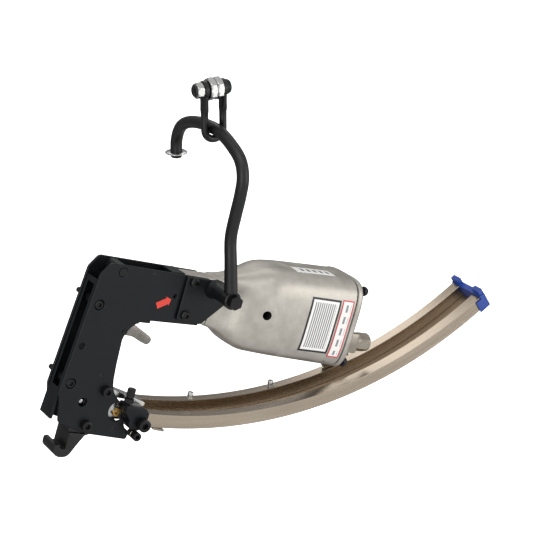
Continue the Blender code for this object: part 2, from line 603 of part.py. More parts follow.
# hanger: a bent bar that hooks over the tool, carried by a shackle
swing = empty("hanger_axis", (-PIVOT_BACK, MID_Y + HANGER_Y, -PIVOT_DROP))
stem = [(0, 0, 13.0), (0.5, 0.8, 35.6), (1.5, 2.0, 58.9), (3.5, -3.7, 82.4), (5.5, -8.8, 101.9),
        (7.5, -9.9, 118.4), (9.2, -2.2, 131.8)]
crook = [(PIVOT_BACK, y, z) for y, z in ((15.4, 141.3), (36, BAR_TOP - 0.5), (56, BAR_TOP), (78, 146.5),
                                         (98, 141.2), (111, 133.0), (118.6, 119.5), (119.8, 102.5))]
bar_path = smooth_path(stem + crook, 2)
eye_pin = [(0, y, 0) for y in EYE]
node("hanger_bar", BLACK, swept_round(bar_path, [6.3, 6.1, 5.9] + [BAR_R] * (len(bar_path) - 3), 12),
     parent=swing, joins=[rod((0, 0, 7.7), (0, 0, 16), 6.3, 16), rod(*eye_pin, EYE_R, 24)],
     cuts=[rod((0, 9, 0), (0, -9, 0), 4.0 + GAP, 20)])
node("bar_washer", ZINC,
     tube((PIVOT_BACK, 119.7, 106.2), (PIVOT_BACK, 119.7, 107.8), 10.6, BAR_R + GAP, 24), parent=swing)

saddle_z = BAR_TOP - PIVOT_DROP
rod_bottom = saddle_z - BAR_R - GAP - SHACKLE_ROD_R - 0.2
bend = [(SHACKLE_HALF * math.cos(math.radians(a)), 0, rod_bottom + SHACKLE_HALF + SHACKLE_HALF
         * math.sin(math.radians(a))) for a in range(180, 361, 20)]
leg_left = [(-SHACKLE_HALF, 0, z) for z in (-12.5, -16.0, -20.0)]
leg_right = [(SHACKLE_HALF, 0, z) for z in (-20.0, -16.0, -12.5)]
u_path = leg_left + bend + leg_right
ear_holes = rod((-20, 0, 0), (20, 0, 0), 4.0 + GAP, 16)
ears = [rod((sx * (SHACKLE_HALF - 2.1), 0, 0), (sx * (SHACKLE_HALF + 2.1), 0, 0), 8.0, 20) for sx in (-1, 1)]
webs = [block((sx * SHACKLE_HALF - 2.0, -5.5, -14), (sx * SHACKLE_HALF + 2.0, 5.5, -4)) for sx in (-1, 1)]
node("shackle", BLACK, swept_round(u_path, SHACKLE_ROD_R, 12), [ear_holes], parent=None, joins=ears + webs)
node("shackle_bolt", OXIDE, turned([(0, 0), (4.0, 0), (4.0, 28.4), (7.0, 28.4), (7.0, 29.8), (5.6, 32.2),
                                    (3.2, 33.2), (0, 33.2)], (-16.6, 0, 0), (1, 0, 0), 20), parent=None)
node("shackle_nut", ZINC, hex_ring((-11.9, 0, 0), (-18.6, 0, 0), 13.0, 4.0 + GAP), parent=None)
for place, low in (("left", -6.6), ("right", 0.2)):
    node(f"spacer_nut_{place}", ZINC, hex_ring((low, 0, 0), (low + 6.4, 0, 0), 18.4, 4.0 + GAP), parent=None)
bpy.context.view_layer.update()
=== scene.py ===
import json
import bmesh
import bpy
import numpy as np
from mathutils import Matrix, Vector

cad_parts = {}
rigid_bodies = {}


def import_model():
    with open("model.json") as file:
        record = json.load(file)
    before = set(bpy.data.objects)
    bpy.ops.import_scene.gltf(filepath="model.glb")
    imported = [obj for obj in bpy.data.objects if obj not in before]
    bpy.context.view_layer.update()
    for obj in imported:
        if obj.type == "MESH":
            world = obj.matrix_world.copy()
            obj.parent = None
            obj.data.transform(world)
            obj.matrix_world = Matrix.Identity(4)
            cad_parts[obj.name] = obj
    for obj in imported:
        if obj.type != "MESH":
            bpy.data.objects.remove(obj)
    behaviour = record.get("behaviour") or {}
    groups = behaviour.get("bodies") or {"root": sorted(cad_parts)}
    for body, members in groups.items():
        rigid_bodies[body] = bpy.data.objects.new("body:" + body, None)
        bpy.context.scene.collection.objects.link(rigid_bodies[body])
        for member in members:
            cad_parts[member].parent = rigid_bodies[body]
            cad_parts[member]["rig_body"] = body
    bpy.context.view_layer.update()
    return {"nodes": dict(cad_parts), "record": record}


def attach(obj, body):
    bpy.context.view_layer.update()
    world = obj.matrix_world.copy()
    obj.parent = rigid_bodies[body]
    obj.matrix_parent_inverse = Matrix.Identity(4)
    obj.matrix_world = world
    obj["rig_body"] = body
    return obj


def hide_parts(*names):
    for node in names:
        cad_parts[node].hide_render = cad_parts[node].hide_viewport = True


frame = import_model()
nodes = frame["nodes"]
print("frame loaded:", len(nodes), "nodes")

tilt = np.radians(18.5)                      # the barrel hangs lower than the nose
pivot = np.array([-10.0, 2.0, -185.5])       # the hanger's pivot seen from the shackle bolt, mm
hangerPlane = -48.0                          # the bent bar stands this far in front of the tool's middle


# all shapes are worked out in millimetres and end in metres

def onTool(points):
    # turns x towards the barrel and z up by the tilt, then shifts to the pivot
    p = np.asarray(points, float)
    x, y, z = p[..., 0], p[..., 1], p[..., 2]
    turned = [np.cos(tilt) * x + np.sin(tilt) * z, y, -np.sin(tilt) * x + np.cos(tilt) * z]
    return (np.stack(turned, -1) + pivot) / 1000


def onHanger(points):
    return (np.asarray(points, float) + pivot + [0, hangerPlane, 0]) / 1000


def onBolt(points):
    return np.asarray(points, float) / 1000


def gridFaces(rows, cols, wrapRows=False, wrapCols=True):
    # quads between neighbouring rows and columns of a grid of points
    r = np.arange(rows if wrapRows else rows - 1)
    c = np.arange(cols if wrapCols else cols - 1)
    r, c = [a.ravel() for a in np.meshgrid(r, c, indexing="ij")]
    r2, c2 = (r + 1) % rows, (c + 1) % cols
    return np.stack([r * cols + c, r * cols + c2, r2 * cols + c2, r2 * cols + c], -1)


def circle(steps):
    return np.linspace(0, 2 * np.pi, steps, endpoint=False)


def acrossAxis(axis):
    # two unit directions square to an axis
    along = np.array(axis, float) / np.linalg.norm(axis)
    guide = np.array([0, 0, 1.0]) if abs(along[2]) < 0.9 else np.array([1.0, 0, 0])
    side = np.cross(along, guide)
    side /= np.linalg.norm(side)
    return along, side, np.cross(side, along)


def turnedRings(profile, base, axis, steps=48, shape=None):
    # a profile of (radius, distance) turned about an axis: point = base + along d + r (cos a side + sin a up)
    # shape(angle, radius, distance) can change the radius
    along, side, up = acrossAxis(axis)
    profile = np.array(profile, float)
    a = circle(steps)[None, :]
    radius = np.repeat(profile[:, :1], steps, 1)
    if shape:
        radius = shape(a, radius, profile[:, 1:2])
    return (np.array(base, float) + along * profile[:, 1][:, None, None]
            + radius[..., None] * (np.cos(a)[..., None] * side + np.sin(a)[..., None] * up))


def hexRadius(a, acrossFlats):
    # distance from the middle of a hexagon to its side at an angle
    sector = (a + np.pi / 6) % (np.pi / 3) - np.pi / 6
    return acrossFlats / 2 / np.cos(sector)


def sweptRings(path, sizes, flatSide, steps=32):
    # an ellipse carried along a path; sizes holds its half width across flatSide and along flatSide
    path = np.array(path, float)
    along = np.gradient(path, axis=0)
    along /= np.linalg.norm(along, axis=1)[:, None]
    flatSide = np.array(flatSide, float)
    normal = np.cross(along, flatSide)
    normal /= np.linalg.norm(normal, axis=1)[:, None]
    other = np.cross(normal, along)
    sizes = np.broadcast_to(np.array(sizes, float), (len(path), 2))
    a = circle(steps)[None, :, None]
    return (path[:, None, :] + np.cos(a) * normal[:, None, :] * sizes[:, None, :1]
            + np.sin(a) * other[:, None, :] * sizes[:, None, 1:])


def smoothPath(controls, steps=10):
    # a Catmull-Rom curve through the control points, as one array
    c = np.array(controls, float)
    c = np.vstack([2 * c[0] - c[1], c, 2 * c[-1] - c[-2]])
    t = np.linspace(0, 1, steps, endpoint=False)[None, :, None]
    p0, p1, p2, p3 = (c[k:len(c) - 3 + k, None, :] for k in range(4))
    curve = 0.5 * (2 * p1 + (p2 - p0) * t + (2 * p0 - 5 * p1 + 4 * p2 - p3) * t ** 2
                   + (3 * p1 - p0 - 3 * p2 + p3) * t ** 3)
    return np.vstack([curve.reshape(-1, c.shape[1]), c[-2:-1]])


def arcPoints(centre, radius, start, end, steps):
    a = np.radians(np.linspace(start, end, steps))
    return np.stack([centre[0] + radius * np.cos(a), centre[1] + radius * np.sin(a)], -1)


def roundedCorners(outline, radius, steps=6):
    # every corner of a flat outline replaced by a quadratic arc that starts and ends one radius away
    here = np.array([p[:2] for p in outline], float)
    reach = np.array([p[2] if len(p) > 2 else radius for p in outline], float)
    back, ahead = np.roll(here, 1, 0) - here, np.roll(here, -1, 0) - here
    backLength, aheadLength = np.linalg.norm(back, axis=1), np.linalg.norm(ahead, axis=1)
    reach = np.minimum(reach, 0.45 * np.minimum(backLength, aheadLength))[:, None]
    first, last = here + back / backLength[:, None] * reach, here + ahead / aheadLength[:, None] * reach
    t = np.linspace(0, 1, steps)[None, :, None]
    curve = first[:, None] * (1 - t) ** 2 + here[:, None] * 2 * t * (1 - t) + last[:, None] * t ** 2
    return curve.reshape(-1, 2)


def insetLoop(loop, depth):
    # a closed outline moved towards its left side, mitred at corners
    ahead = np.roll(loop, -1, 0) - loop
    ahead /= np.linalg.norm(ahead, axis=1)[:, None] + 1e-12
    normal = np.stack([-ahead[:, 1], ahead[:, 0]], -1)
    before = np.roll(normal, 1, 0)
    mitre = (normal + before) / np.maximum(1 + (normal * before).sum(1), 0.35)[:, None]
    return loop + mitre * depth


def addObject(name, data):
    made = bpy.data.objects.new(name, data)
    bpy.context.scene.collection.objects.link(made)
    return made


def makePiece(name, points, faces, body, finish, stands=(), sharp=35, grain=None):
    # points are metres in the shared frame; equal points are merged and faces turned outwards
    mesh = bpy.data.meshes.new(name)
    mesh.from_pydata(np.asarray(points).reshape(-1, 3).tolist(), [], np.asarray(faces).tolist())
    if grain is not None:
        mesh.attributes.new("grain", "FLOAT_VECTOR", "POINT").data.foreach_set(
            "vector", np.asarray(grain, np.float32).ravel())
    piece = addObject(name, mesh)
    tidyMesh(mesh)
    return dress(piece, body, finish, stands, sharp)


def tidyMesh(mesh, distance=1e-7):
    graph = bmesh.new()
    graph.from_mesh(mesh)
    bmesh.ops.remove_doubles(graph, verts=graph.verts, dist=distance)
    bmesh.ops.dissolve_degenerate(graph, edges=graph.edges, dist=distance)
    bmesh.ops.recalc_face_normals(graph, faces=graph.faces)
    graph.to_mesh(mesh)
    graph.free()


def dress(piece, body, finish, stands=(), sharp=35):
    piece.data.materials.clear()
    piece.data.materials.append(finish)
    piece.data.shade_smooth()
    piece.data.set_sharp_from_angle(angle=np.radians(sharp))
    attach(piece, body)
    if stands:
        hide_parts(*stands)
    return piece


def ringsPiece(name, rings, place, body, finish, stands=(), sharp=35, closed=False, grain=None):
    # rings is (rows, around, 3); open ends are closed by drawing them to their middle point
    rings = np.asarray(rings, float)
    if not closed:
        ends = [np.repeat(rings[k].mean(0)[None, :], rings.shape[1], 0)[None] for k in (0, -1)]
        rings = np.concatenate([ends[0], rings, ends[1]])
        if grain is not None:
            grain = np.concatenate([grain[:1], grain, grain[-1:]])
    faces = gridFaces(len(rings), rings.shape[1], wrapRows=closed)
    return makePiece(name, place(rings), faces, body, finish, stands, sharp, grain=grain)


def platePiece(name, outline, holes, low, high, body, finish, stands=(), chamfer=0.5):
    # a flat plate in the tool's x-z plane with holes and chamfered edges, filled between its loops
    loops = []
    for k, loop in enumerate([outline] + list(holes)):
        loop = np.asarray(loop, float)
        x, z = loop[:, 0], loop[:, 1]
        area = (x * np.roll(z, -1) - np.roll(x, -1) * z).sum()
        loops.append(loop if (area > 0) == (k == 0) else loop[::-1])
    points, faces, caps, start = [], [], [], 0
    for loop in loops:
        inner, n = insetLoop(loop, chamfer), len(loop)
        for flat, y in ((inner, low), (loop, low + chamfer), (loop, high - chamfer), (inner, high)):
            points.append(np.stack([flat[:, 0], np.full(n, y), flat[:, 1]], -1))
        faces.append(gridFaces(4, n) + start)
        caps.append((start, start + 3 * n, n))
        start += 4 * n
    mesh = bpy.data.meshes.new(name)
    mesh.from_pydata(onTool(np.concatenate(points)).tolist(), [], np.concatenate(faces).tolist())
    graph = bmesh.new()
    graph.from_mesh(mesh)
    graph.verts.ensure_lookup_table()
    for side in (0, 1):
        edges = [graph.edges.get((graph.verts[c[side] + i], graph.verts[c[side] + (i + 1) % c[2]]))
                 for c in caps for i in range(c[2])]
        bmesh.ops.triangle_fill(graph, use_beauty=True, use_dissolve=False, edges=edges)
    bmesh.ops.recalc_face_normals(graph, faces=graph.faces)
    graph.to_mesh(mesh)
    graph.free()
    piece = addObject(name, mesh)
    return dress(piece, body, finish, stands, 25)


def easedCopy(node, name, width, finish):
    # a CAD solid with its sharp edges rounded by a width in millimetres
    mesh = nodes[node].data.copy()
    mesh.name = name
    for old in [a.name for a in mesh.attributes if a.name in ("custom_normal", "sharp_edge", "sharp_face")]:
        mesh.attributes.remove(mesh.attributes[old])
    graph = bmesh.new()
    graph.from_mesh(mesh)
    bmesh.ops.remove_doubles(graph, verts=graph.verts, dist=2e-6)
    bmesh.ops.dissolve_limit(graph, angle_limit=np.radians(1.0), verts=graph.verts, edges=graph.edges)
    edges = [e for e in graph.edges if len(e.link_faces) == 2 and e.calc_face_angle(0) > np.radians(28)]
    bmesh.ops.bevel(graph, geom=edges, offset=width / 1000, segments=3, profile=0.5, affect="EDGES",
                    clamp_overlap=True)
    bmesh.ops.triangulate(graph, faces=[f for f in graph.faces if len(f.verts) > 4])
    bmesh.ops.recalc_face_normals(graph, faces=graph.faces)
    graph.to_mesh(mesh)
    graph.free()
    piece = addObject(name, mesh)
    return dress(piece, nodes[node]["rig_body"], finish, (node,), 30)


def hexColour(text):
    # sRGB hex to linear red, green, blue
    c = np.array([int(text[k:k + 2], 16) for k in (1, 3, 5)]) / 255
    return tuple(np.where(c <= 0.04045, c / 12.92, ((c + 0.055) / 1.055) ** 2.4)) + (1.0,)


def addNode(tree, kind, settings=None, **links):
    # one shader node; settings are its properties, links its inputs as values or (node, output) pairs
    node = tree.nodes.new(kind)
    for key, value in (settings or {}).items():
        setattr(node, key, value)
    for key, value in links.items():
        numbered = key[0] == "i" and key[1:].isdigit()
        socket = node.inputs[int(key[1:]) if numbered else key.replace("_", " ")]
        if isinstance(value, tuple) and len(value) == 2 and hasattr(value[0], "outputs"):
            tree.links.new(value[0].outputs[value[1]], socket)
        else:
            socket.default_value = value
    return node


slotOfFinish = {}


def emptyFinish(name, slotName):
    # a material without nodes, noted with the slot it dresses
    made = bpy.data.materials.new(name)
    slotOfFinish[made.name] = slotName
    made.use_nodes = True
    made.node_tree.nodes.clear()
    return made, made.node_tree


def mottledFinish(name, slotName, light, dark, rough, grainMm, patchMm, metallic=1.0, bumpMm=0.01,
                  roughSpread=0.08, coords="object", stretch=(1, 1, 1), ior=None, shine=0.5):
    # patches of two close tones, with a fine grain that also moves the roughness
    made, tree = emptyFinish(name, slotName)
    if coords == "grain":
        source = addNode(tree, "ShaderNodeAttribute", {"attribute_name": "grain"})
        where = (source, "Vector")
    else:
        source = addNode(tree, "ShaderNodeTexCoord")
        scaled = addNode(tree, "ShaderNodeMapping", Vector=(source, "Object"), Scale=(1000, 1000, 1000))
        where = (scaled, "Vector")
    stretched = addNode(tree, "ShaderNodeMapping", Vector=where, Scale=stretch)
    patches = addNode(tree, "ShaderNodeTexNoise", Vector=(stretched, "Vector"), Scale=1 / patchMm, Detail=3.0,
                      Roughness=0.55)
    grain = addNode(tree, "ShaderNodeTexNoise", Vector=(stretched, "Vector"), Scale=1 / grainMm, Detail=2.0,
                    Roughness=0.5)
    tone = addNode(tree, "ShaderNodeMix", {"data_type": "RGBA"}, i0=(patches, "Fac"), i6=hexColour(dark),
                   i7=hexColour(light))
    spread = addNode(tree, "ShaderNodeMath", {"operation": "ADD"}, i0=(patches, "Fac"), i1=(grain, "Fac"))
    gloss = addNode(tree, "ShaderNodeMapRange", Value=(spread, "Value"), i1=0.6, i2=1.4,
                    i3=rough - roughSpread, i4=rough + roughSpread)
    bump = addNode(tree, "ShaderNodeBump", Height=(grain, "Fac"), Strength=1.0, Distance=bumpMm / 1000)
    shader = addNode(tree, "ShaderNodeBsdfPrincipled", Base_Color=(tone, 2), Metallic=metallic,
                     Roughness=(gloss, "Result"), Normal=(bump, "Normal"), Specular_IOR_Level=shine)
    if ior:
        shader.inputs["IOR"].default_value = ior
    addNode(tree, "ShaderNodeOutputMaterial", Surface=(shader, "BSDF"))
    return made


# satin powder coat on laser-cut steel: nearly black, soft broad highlights, faint orange peel
powderCoat = mottledFinish("satin_powder_coat", "black_coated_steel", "#101215", "#0a0b0d", rough=0.40,
                           grainMm=0.9, patchMm=22, metallic=0.0, bumpMm=0.025, ior=1.5, shine=0.26)
# the same coat rubbed on bent bar stock, a little glossier and browner
barCoat = mottledFinish("bar_coat", "black_coated_steel", "#141413", "#0d0d0c", rough=0.36, grainMm=1.2,
                        patchMm=14, metallic=0.0, bumpMm=0.03, ior=1.5, shine=0.4)
# black oxide on turned fasteners: dark metal with an oily shine
blackOxide = mottledFinish("black_oxide", "black_oxide_steel", "#1c1c1e", "#101012", rough=0.34,
                           grainMm=0.5, patchMm=6, metallic=0.5)
# sand-cast aluminium, tumbled: warm satin grey with soft clouds and fine pores
castAluminium = mottledFinish("cast_aluminium", "cast_aluminium", "#cac5bc", "#958f86", rough=0.42,
                              grainMm=1.3, patchMm=15, metallic=0.75, bumpMm=0.13, roughSpread=0.13)
# the trigger is cast too, but tumbled brighter and darkened by hands
handledCasting = mottledFinish("handled_casting", "cast_aluminium", "#99948d", "#6d6963", rough=0.30,
                               grainMm=0.8, patchMm=9, metallic=0.95, bumpMm=0.04, roughSpread=0.10)
# nickel plate on drawn strip: warm satin mirror with streaks along the strip
nickelStrip = mottledFinish("nickel_strip", "nickel_plated_steel", "#c0b2a0", "#9a8d7e", rough=0.25,
                            grainMm=0.6, patchMm=9, bumpMm=0.012, roughSpread=0.09, coords="grain",
                            stretch=(0.06, 1, 1))
# the same plate on small bent parts: warm and even, with little streak
nickelPlate = mottledFinish("nickel_plate", "nickel_plated_steel", "#ada598", "#8a8276", rough=0.28,
                            grainMm=0.6, patchMm=10, bumpMm=0.015, roughSpread=0.07)
# bright zinc plate on bought fasteners: cool white metal
zincPlate = mottledFinish("zinc_plate", "zinc_plated_steel", "#cfcfcc", "#adadaa", rough=0.26, grainMm=0.5,
                          patchMm=5)
# ground steel: cool grey, with fine marks along the grinding
groundSteel = mottledFinish("ground_steel", "ground_steel", "#c9c9c8", "#aaaaaa", rough=0.24, grainMm=0.4,
                            patchMm=6, roughSpread=0.05, stretch=(1, 0.1, 1))
# turned brass: dull gold with brighter tool marks
turnedBrass = mottledFinish("turned_brass", "brass", "#c9a25c", "#a07c40", rough=0.28, grainMm=0.5,
                            patchMm=6, roughSpread=0.06)
# injection-moulded polypropylene: saturated blue, satin, slightly cloudy
bluePlastic = mottledFinish("blue_polypropylene", "blue_plastic", "#2549a0", "#1a3780", rough=0.38,
                            grainMm=0.7, patchMm=12, metallic=0.0, bumpMm=0.03, roughSpread=0.06, ior=1.49)
# nitrile rubber: dead black, a faint bloom; the same black also paints shade on the wall and bottom of the
# barrel's port
rubberAndPortShade = mottledFinish("nitrile_rubber_and_port_shade", "seal_rubber", "#1b1b1b", "#121212", rough=0.6,
                              grainMm=0.4, patchMm=5, metallic=0.0, bumpMm=0.02, roughSpread=0.05,
                              ior=1.52)
# cut vinyl film: flat bright red with a soft gloss
redVinyl = mottledFinish("red_vinyl", "black_coated_steel", "#e0402f", "#cf382a", rough=0.42, grainMm=2.0,
                         patchMm=8, metallic=0.0, roughSpread=0.04, ior=1.5)

finishOfSlot = {slotOfFinish[made.name]: made for made in (
    powderCoat, blackOxide, castAluminium, nickelPlate, zincPlate, groundSteel, turnedBrass, bluePlastic,
    rubberAndPortShade)}
for row in frame["record"]["subparts"]:
    bare = nodes[row["node"]].data.materials
    bare.clear()
    bare.append(finishOfSlot[row["material_slot"]])
print("finishes made")


def hexNut(name, low, high, acrossFlats, inner, body, finish, stands, place=onBolt):
    # a hexagon with conical chamfers and a bored hole: radius = min(hexagon side, chamfer cone)
    low, high = np.array(low, float), np.array(high, float)
    length = np.linalg.norm(high - low)
    d = np.concatenate([[0, 0.25], np.linspace(0.3, length - 0.3, 9), [length - 0.25, length]])
    outside = np.stack([np.full(len(d), acrossFlats / np.sqrt(3)), d], -1)
    inside = np.array([[inner + 0.5, length], [inner, length - 0.4], [inner, 0.4], [inner + 0.5, 0]])

    def shape(a, radius, distance):
        edge = np.minimum(distance, length - distance)
        cone = acrossFlats / 2 * 0.97 + edge * 1.7
        return np.where(radius > inner + 0.6, np.minimum(hexRadius(a, acrossFlats), cone), radius)

    rings = turnedRings(np.vstack([outside, inside]), low, high - low, 96, shape)
    return ringsPiece(name, rings, place, body, finish, stands, closed=True)


# the bolt lies along x; its head is to the right and the lock nut to the left
boltSpec = {"rod": 4.0, "end": -16.6, "headAt": 11.8, "lockNut": 13.0, "lockNutSpan": (-11.9, -18.6),
            "spacerNut": 18.4, "spacerNutLong": 6.4, "clearance": 0.15}
headRows = [(boltSpec["rod"], 0), (6.9, 0), (7.0, 0.4), (6.8, 2.2), (5.9, 3.8), (4.3, 4.6), (2.6, 4.8)]
boltProfile = [(boltSpec["rod"] - 0.6, boltSpec["end"]), (boltSpec["rod"], boltSpec["end"] + 0.6)]
boltProfile += [(r, boltSpec["headAt"] + d) for r, d in headRows]
ringsPiece("shackleBolt", turnedRings(boltProfile, (0, 0, 0), (1, 0, 0), 48), onBolt, "bolt", blackOxide,
           ("shackle_bolt",))
nutHole = boltSpec["rod"] + boltSpec["clearance"]
hexNut("lockNut", (boltSpec["lockNutSpan"][0], 0, 0), (boltSpec["lockNutSpan"][1], 0, 0), boltSpec["lockNut"],
       nutHole, "bolt", zincPlate, ("shackle_nut",))
insertProfile = [(nutHole, 0), (5.6, 0), (5.6, 1.0), (5.1, 1.5), (nutHole, 1.5)]
ringsPiece("lockNutInsert", turnedRings(insertProfile, (-18.4, 0, 0), (-1, 0, 0), 48), onBolt, "bolt",
           rubberAndPortShade, closed=True)
for side, low in (("Left", -6.6), ("Right", 0.2)):
    hexNut("spacerNut" + side, (low, 0, 0), (low + boltSpec["spacerNutLong"], 0, 0), boltSpec["spacerNut"],
           boltSpec["rod"] + 0.3, "bolt", zincPlate, ("spacer_nut_" + side.lower(),))

shackleSpec = {"half": 9.4, "rod": 3.4, "barTop": -37.0, "barRadius": 5.7, "slack": 0.5, "earRadius": 8.0,
               "earHalf": 2.1}
rodLow = shackleSpec["barTop"] - shackleSpec["barRadius"] - shackleSpec["slack"] - shackleSpec["rod"]
bendAngles = np.radians(np.linspace(180, 360, 33))
bend = np.stack([shackleSpec["half"] * np.cos(bendAngles), 0 * bendAngles,
                 rodLow + shackleSpec["half"] + shackleSpec["half"] * np.sin(bendAngles)], -1)
# the legs are forged flat above the rod: rows of (height, wide across the eye, thin along the bolt)
legRows = np.array([(-5.0, 6.9, 2.3), (-12.5, 6.0, 2.7), (-18.5, 5.6, 3.1), (-20.5, 4.6, 3.3),
                    (-22.5, 3.5, 3.4), (-26.0, 3.4, 3.4)])
leftLeg = np.stack([np.full(6, -shackleSpec["half"]), np.zeros(6), legRows[:, 0]], -1)
uPath = np.vstack([leftLeg, bend, (leftLeg * [-1, 1, 1])[::-1]])
uSizes = np.vstack([legRows[:, [2, 1]], np.full((33, 2), shackleSpec["rod"]), legRows[::-1, [2, 1]]])
ringsPiece("shackleBow", sweptRings(uPath, uSizes, (0, 1, 0), 32), onBolt, "shackle", barCoat, ("shackle",))
earOut, earHalf = shackleSpec["earRadius"], shackleSpec["earHalf"]
earProfile = [(4.35, -earHalf), (earOut - 0.6, -earHalf), (earOut, 0.6 - earHalf), (earOut, earHalf - 0.6),
              (earOut - 0.6, earHalf), (4.35, earHalf)]
for side, sign in (("Left", -1), ("Right", 1)):
    earRings = turnedRings(earProfile, (sign * shackleSpec["half"], 0, 0), (1, 0, 0), 48)
    ringsPiece("shackleEar" + side, earRings, onBolt, "shackle", barCoat, closed=True)

# the bent bar: thicker by "foot" at the eye, its cut end a little narrowed
barSpec = {"radius": 5.7, "foot": 0.6, "footLong": 45, "endNarrowing": 0.1, "eyeHole": 4.35, "eyeRadius": 8.4}
stemControls = [(0, 0, 7.9), (0, 0, 13.0), (0.5, 0.8, 35.6), (1.5, 2.0, 58.9), (3.5, -3.7, 82.4),
                (5.5, -8.8, 101.9), (7.5, -9.9, 118.4), (9.2, -2.2, 131.8)]
crookControls = [(10, 15.4, 141.3), (10, 36, 148.0), (10, 56, 148.5), (10, 78, 146.5), (10, 98, 141.2),
                 (10, 111, 133.0), (10, 118.6, 119.5), (10, 119.8, 102.5)]
barPath = smoothPath(stemControls + crookControls, 12)
barHeight = np.linalg.norm(barPath - barPath[0], axis=1)
barRadius = barSpec["radius"] + barSpec["foot"] * np.clip(1 - barHeight / barSpec["footLong"], 0, 1) ** 1.5
fromEnd = np.clip((len(barPath) - 1 - np.arange(len(barPath))) / 2, 0, 1)
barRadius *= 1 - barSpec["endNarrowing"] * (1 - fromEnd)
ringsPiece("hangerBar", sweptRings(barPath, np.stack([barRadius, barRadius], -1), (1, 0, 0), 40), onHanger,
           "hanger", barCoat, ("hanger_bar",))
eyeOut, eyeHole = barSpec["eyeRadius"], barSpec["eyeHole"]
eyeProfile = [(eyeHole, -5.0), (eyeOut - 0.8, -5.0), (eyeOut, -4.2), (eyeOut, 3.6), (eyeOut - 0.8, 4.4),
              (eyeHole, 4.4)]
ringsPiece("hangerEye", turnedRings(eyeProfile, (0, 0, 0), (0, -1, 0), 56), onHanger, "hanger", barCoat,
           closed=True)
washerSpec = {"at": (10, 119.7, 106.2), "inner": 6.0, "outer": 10.6, "thick": 1.6}
washerIn, washerOut, washerThick = washerSpec["inner"], washerSpec["outer"], washerSpec["thick"]
washerProfile = [(washerIn, 0), (washerOut - 0.6, 0), (washerOut, 0.4), (washerOut, washerThick - 0.4),
                 (washerOut - 0.6, washerThick), (washerIn, washerThick)]
ringsPiece("barWasher", turnedRings(washerProfile, washerSpec["at"], (0, 0, 1), 56), onHanger, "hanger",
           zincPlate, ("bar_washer",), closed=True)

bossProfile = [(4.4, 0), (9.5, 0), (9.4, 1.0), (8.6, 3.0), (7.7, 5.5), (7.4, 9.0), (7.3, 24.6), (6.9, 25.1),
               (4.4, 25.1)]
ringsPiece("hangerBoss", turnedRings(bossProfile, (0, -17.6, 0), (0, -1, 0), 56), onTool, "frame", powderCoat,
           ("hanger_boss",), closed=True)


def hexSocketScrew(name, base, axis, head, shank, domed, finish, stands=()):
    # a head with a six-sided recess: the recess rings follow the hexagon's side, the others are round
    # head is (radius, height) and shank is (radius, length)
    headRadius, headHigh = head
    shankRadius, shankLong = shank
    socket = headRadius * 0.95
    if domed:
        t = np.linspace(0, 1, 8)
        rise = headHigh * (0.22 + 0.78 * np.sin(t * 1.08) / np.sin(1.08))
        outer = np.stack([headRadius * np.cos(t * 1.08), rise], -1)
    else:
        outer = np.array([(headRadius, 0.35), (headRadius, headHigh - 0.5),
                          (headRadius - 0.15, headHigh - 0.15), (headRadius - 0.5, headHigh)])
    below = [(shankRadius - 0.4, -shankLong), (shankRadius, -shankLong + 0.5), (shankRadius, 0),
             (headRadius - 0.3, 0)]
    recess = [(socket / 2, headHigh), (socket / 2, headHigh - 0.15), (socket / 2, headHigh * 0.5)]
    profile = np.vstack([below, outer, recess])

    def shape(a, radius, distance):
        inRecess = np.arange(len(profile))[:, None] >= len(profile) - len(recess)
        return np.where(inRecess, hexRadius(a, socket), radius)

    return ringsPiece(name, turnedRings(profile, base, axis, 48, shape), onTool, "frame", finish, stands)


nearAxis = (0, -1, 0)
bracketScrews = {"Upper": (-22.7, 3.6), "Lower": (-23.4, -28.3)}
noseScrews = {"Upper": (-81.5, -109.0), "Lower": (-93.0, -143.2)}
for place, (x, z) in bracketScrews.items():
    hexSocketScrew("bracketScrew" + place, (x, -17.6, z), nearAxis, (4.7, 3.0), (2.5, 5.8), True, blackOxide,
                   ("bracket_screw_" + place.lower(),))
for place, (x, z) in noseScrews.items():
    hexSocketScrew("noseScrew" + place, (x, -14.3, z), nearAxis, (5.1, 5.0), (2.5, 27), False, blackOxide,
                   ("nose_screw_" + place.lower(),))
pivotSpec = {"acrossFlats": 12.0, "shank": 4.0, "headAt": 41.3, "end": 47.0}
headFoot, headEnd = pivotSpec["headAt"], pivotSpec["end"]
pivotProfile = [(3.6, 0), (pivotSpec["shank"], 0.5), (pivotSpec["shank"], headFoot), (7.5, headFoot),
                (7.6, headFoot + 0.4), (7.6, headFoot + 2.7), (7.6, headEnd - 1.4), (7.2, headEnd - 0.6),
                (6.6, headEnd), (3.0, headEnd), (2.8, headEnd - 0.2)]


def pivotHead(a, radius, distance):
    # a chamfered hexagon above the shank: radius = min(hexagon side, turned profile)
    onHead = distance > headFoot - 0.1
    return np.where(onHead, np.minimum(hexRadius(a, pivotSpec["acrossFlats"]), radius), radius)


ringsPiece("pivotBolt", turnedRings(pivotProfile, (0, -11.4, 0), nearAxis, 96, pivotHead), onTool, "frame",
           blackOxide, ("hanger_pivot_bolt",))
hexSocketScrew("blockScrewLarge", (-41.0, -23.8, -134.4), nearAxis, (6.0, 7.0), (2.5, 12), False, blackOxide,
               ("block_screw_large",))
hexSocketScrew("blockScrewSmall", (-44.8, -21.6, -146.2), nearAxis, (4.2, 7.0), (2.4, 7), False, blackOxide,
               ("block_screw_small",))
coverScrews = {"near_low": (-30, -51.7), "near_high": (-30, 21.3), "far_low": (30, -51.7),
               "far_high": (30, 21.3)}
for place, (y, z) in coverScrews.items():
    hexSocketScrew("coverScrew_" + place, (158.3, y, z), (1, 0, 0), (4.9, 5.6), (2.0, 24), True, blackOxide,
                   ("cover_screw_" + place,))
print("hanger and screws made")

edgeTop, edgeDirection = (-118.0, -1.5), (-0.0873, -0.9962)


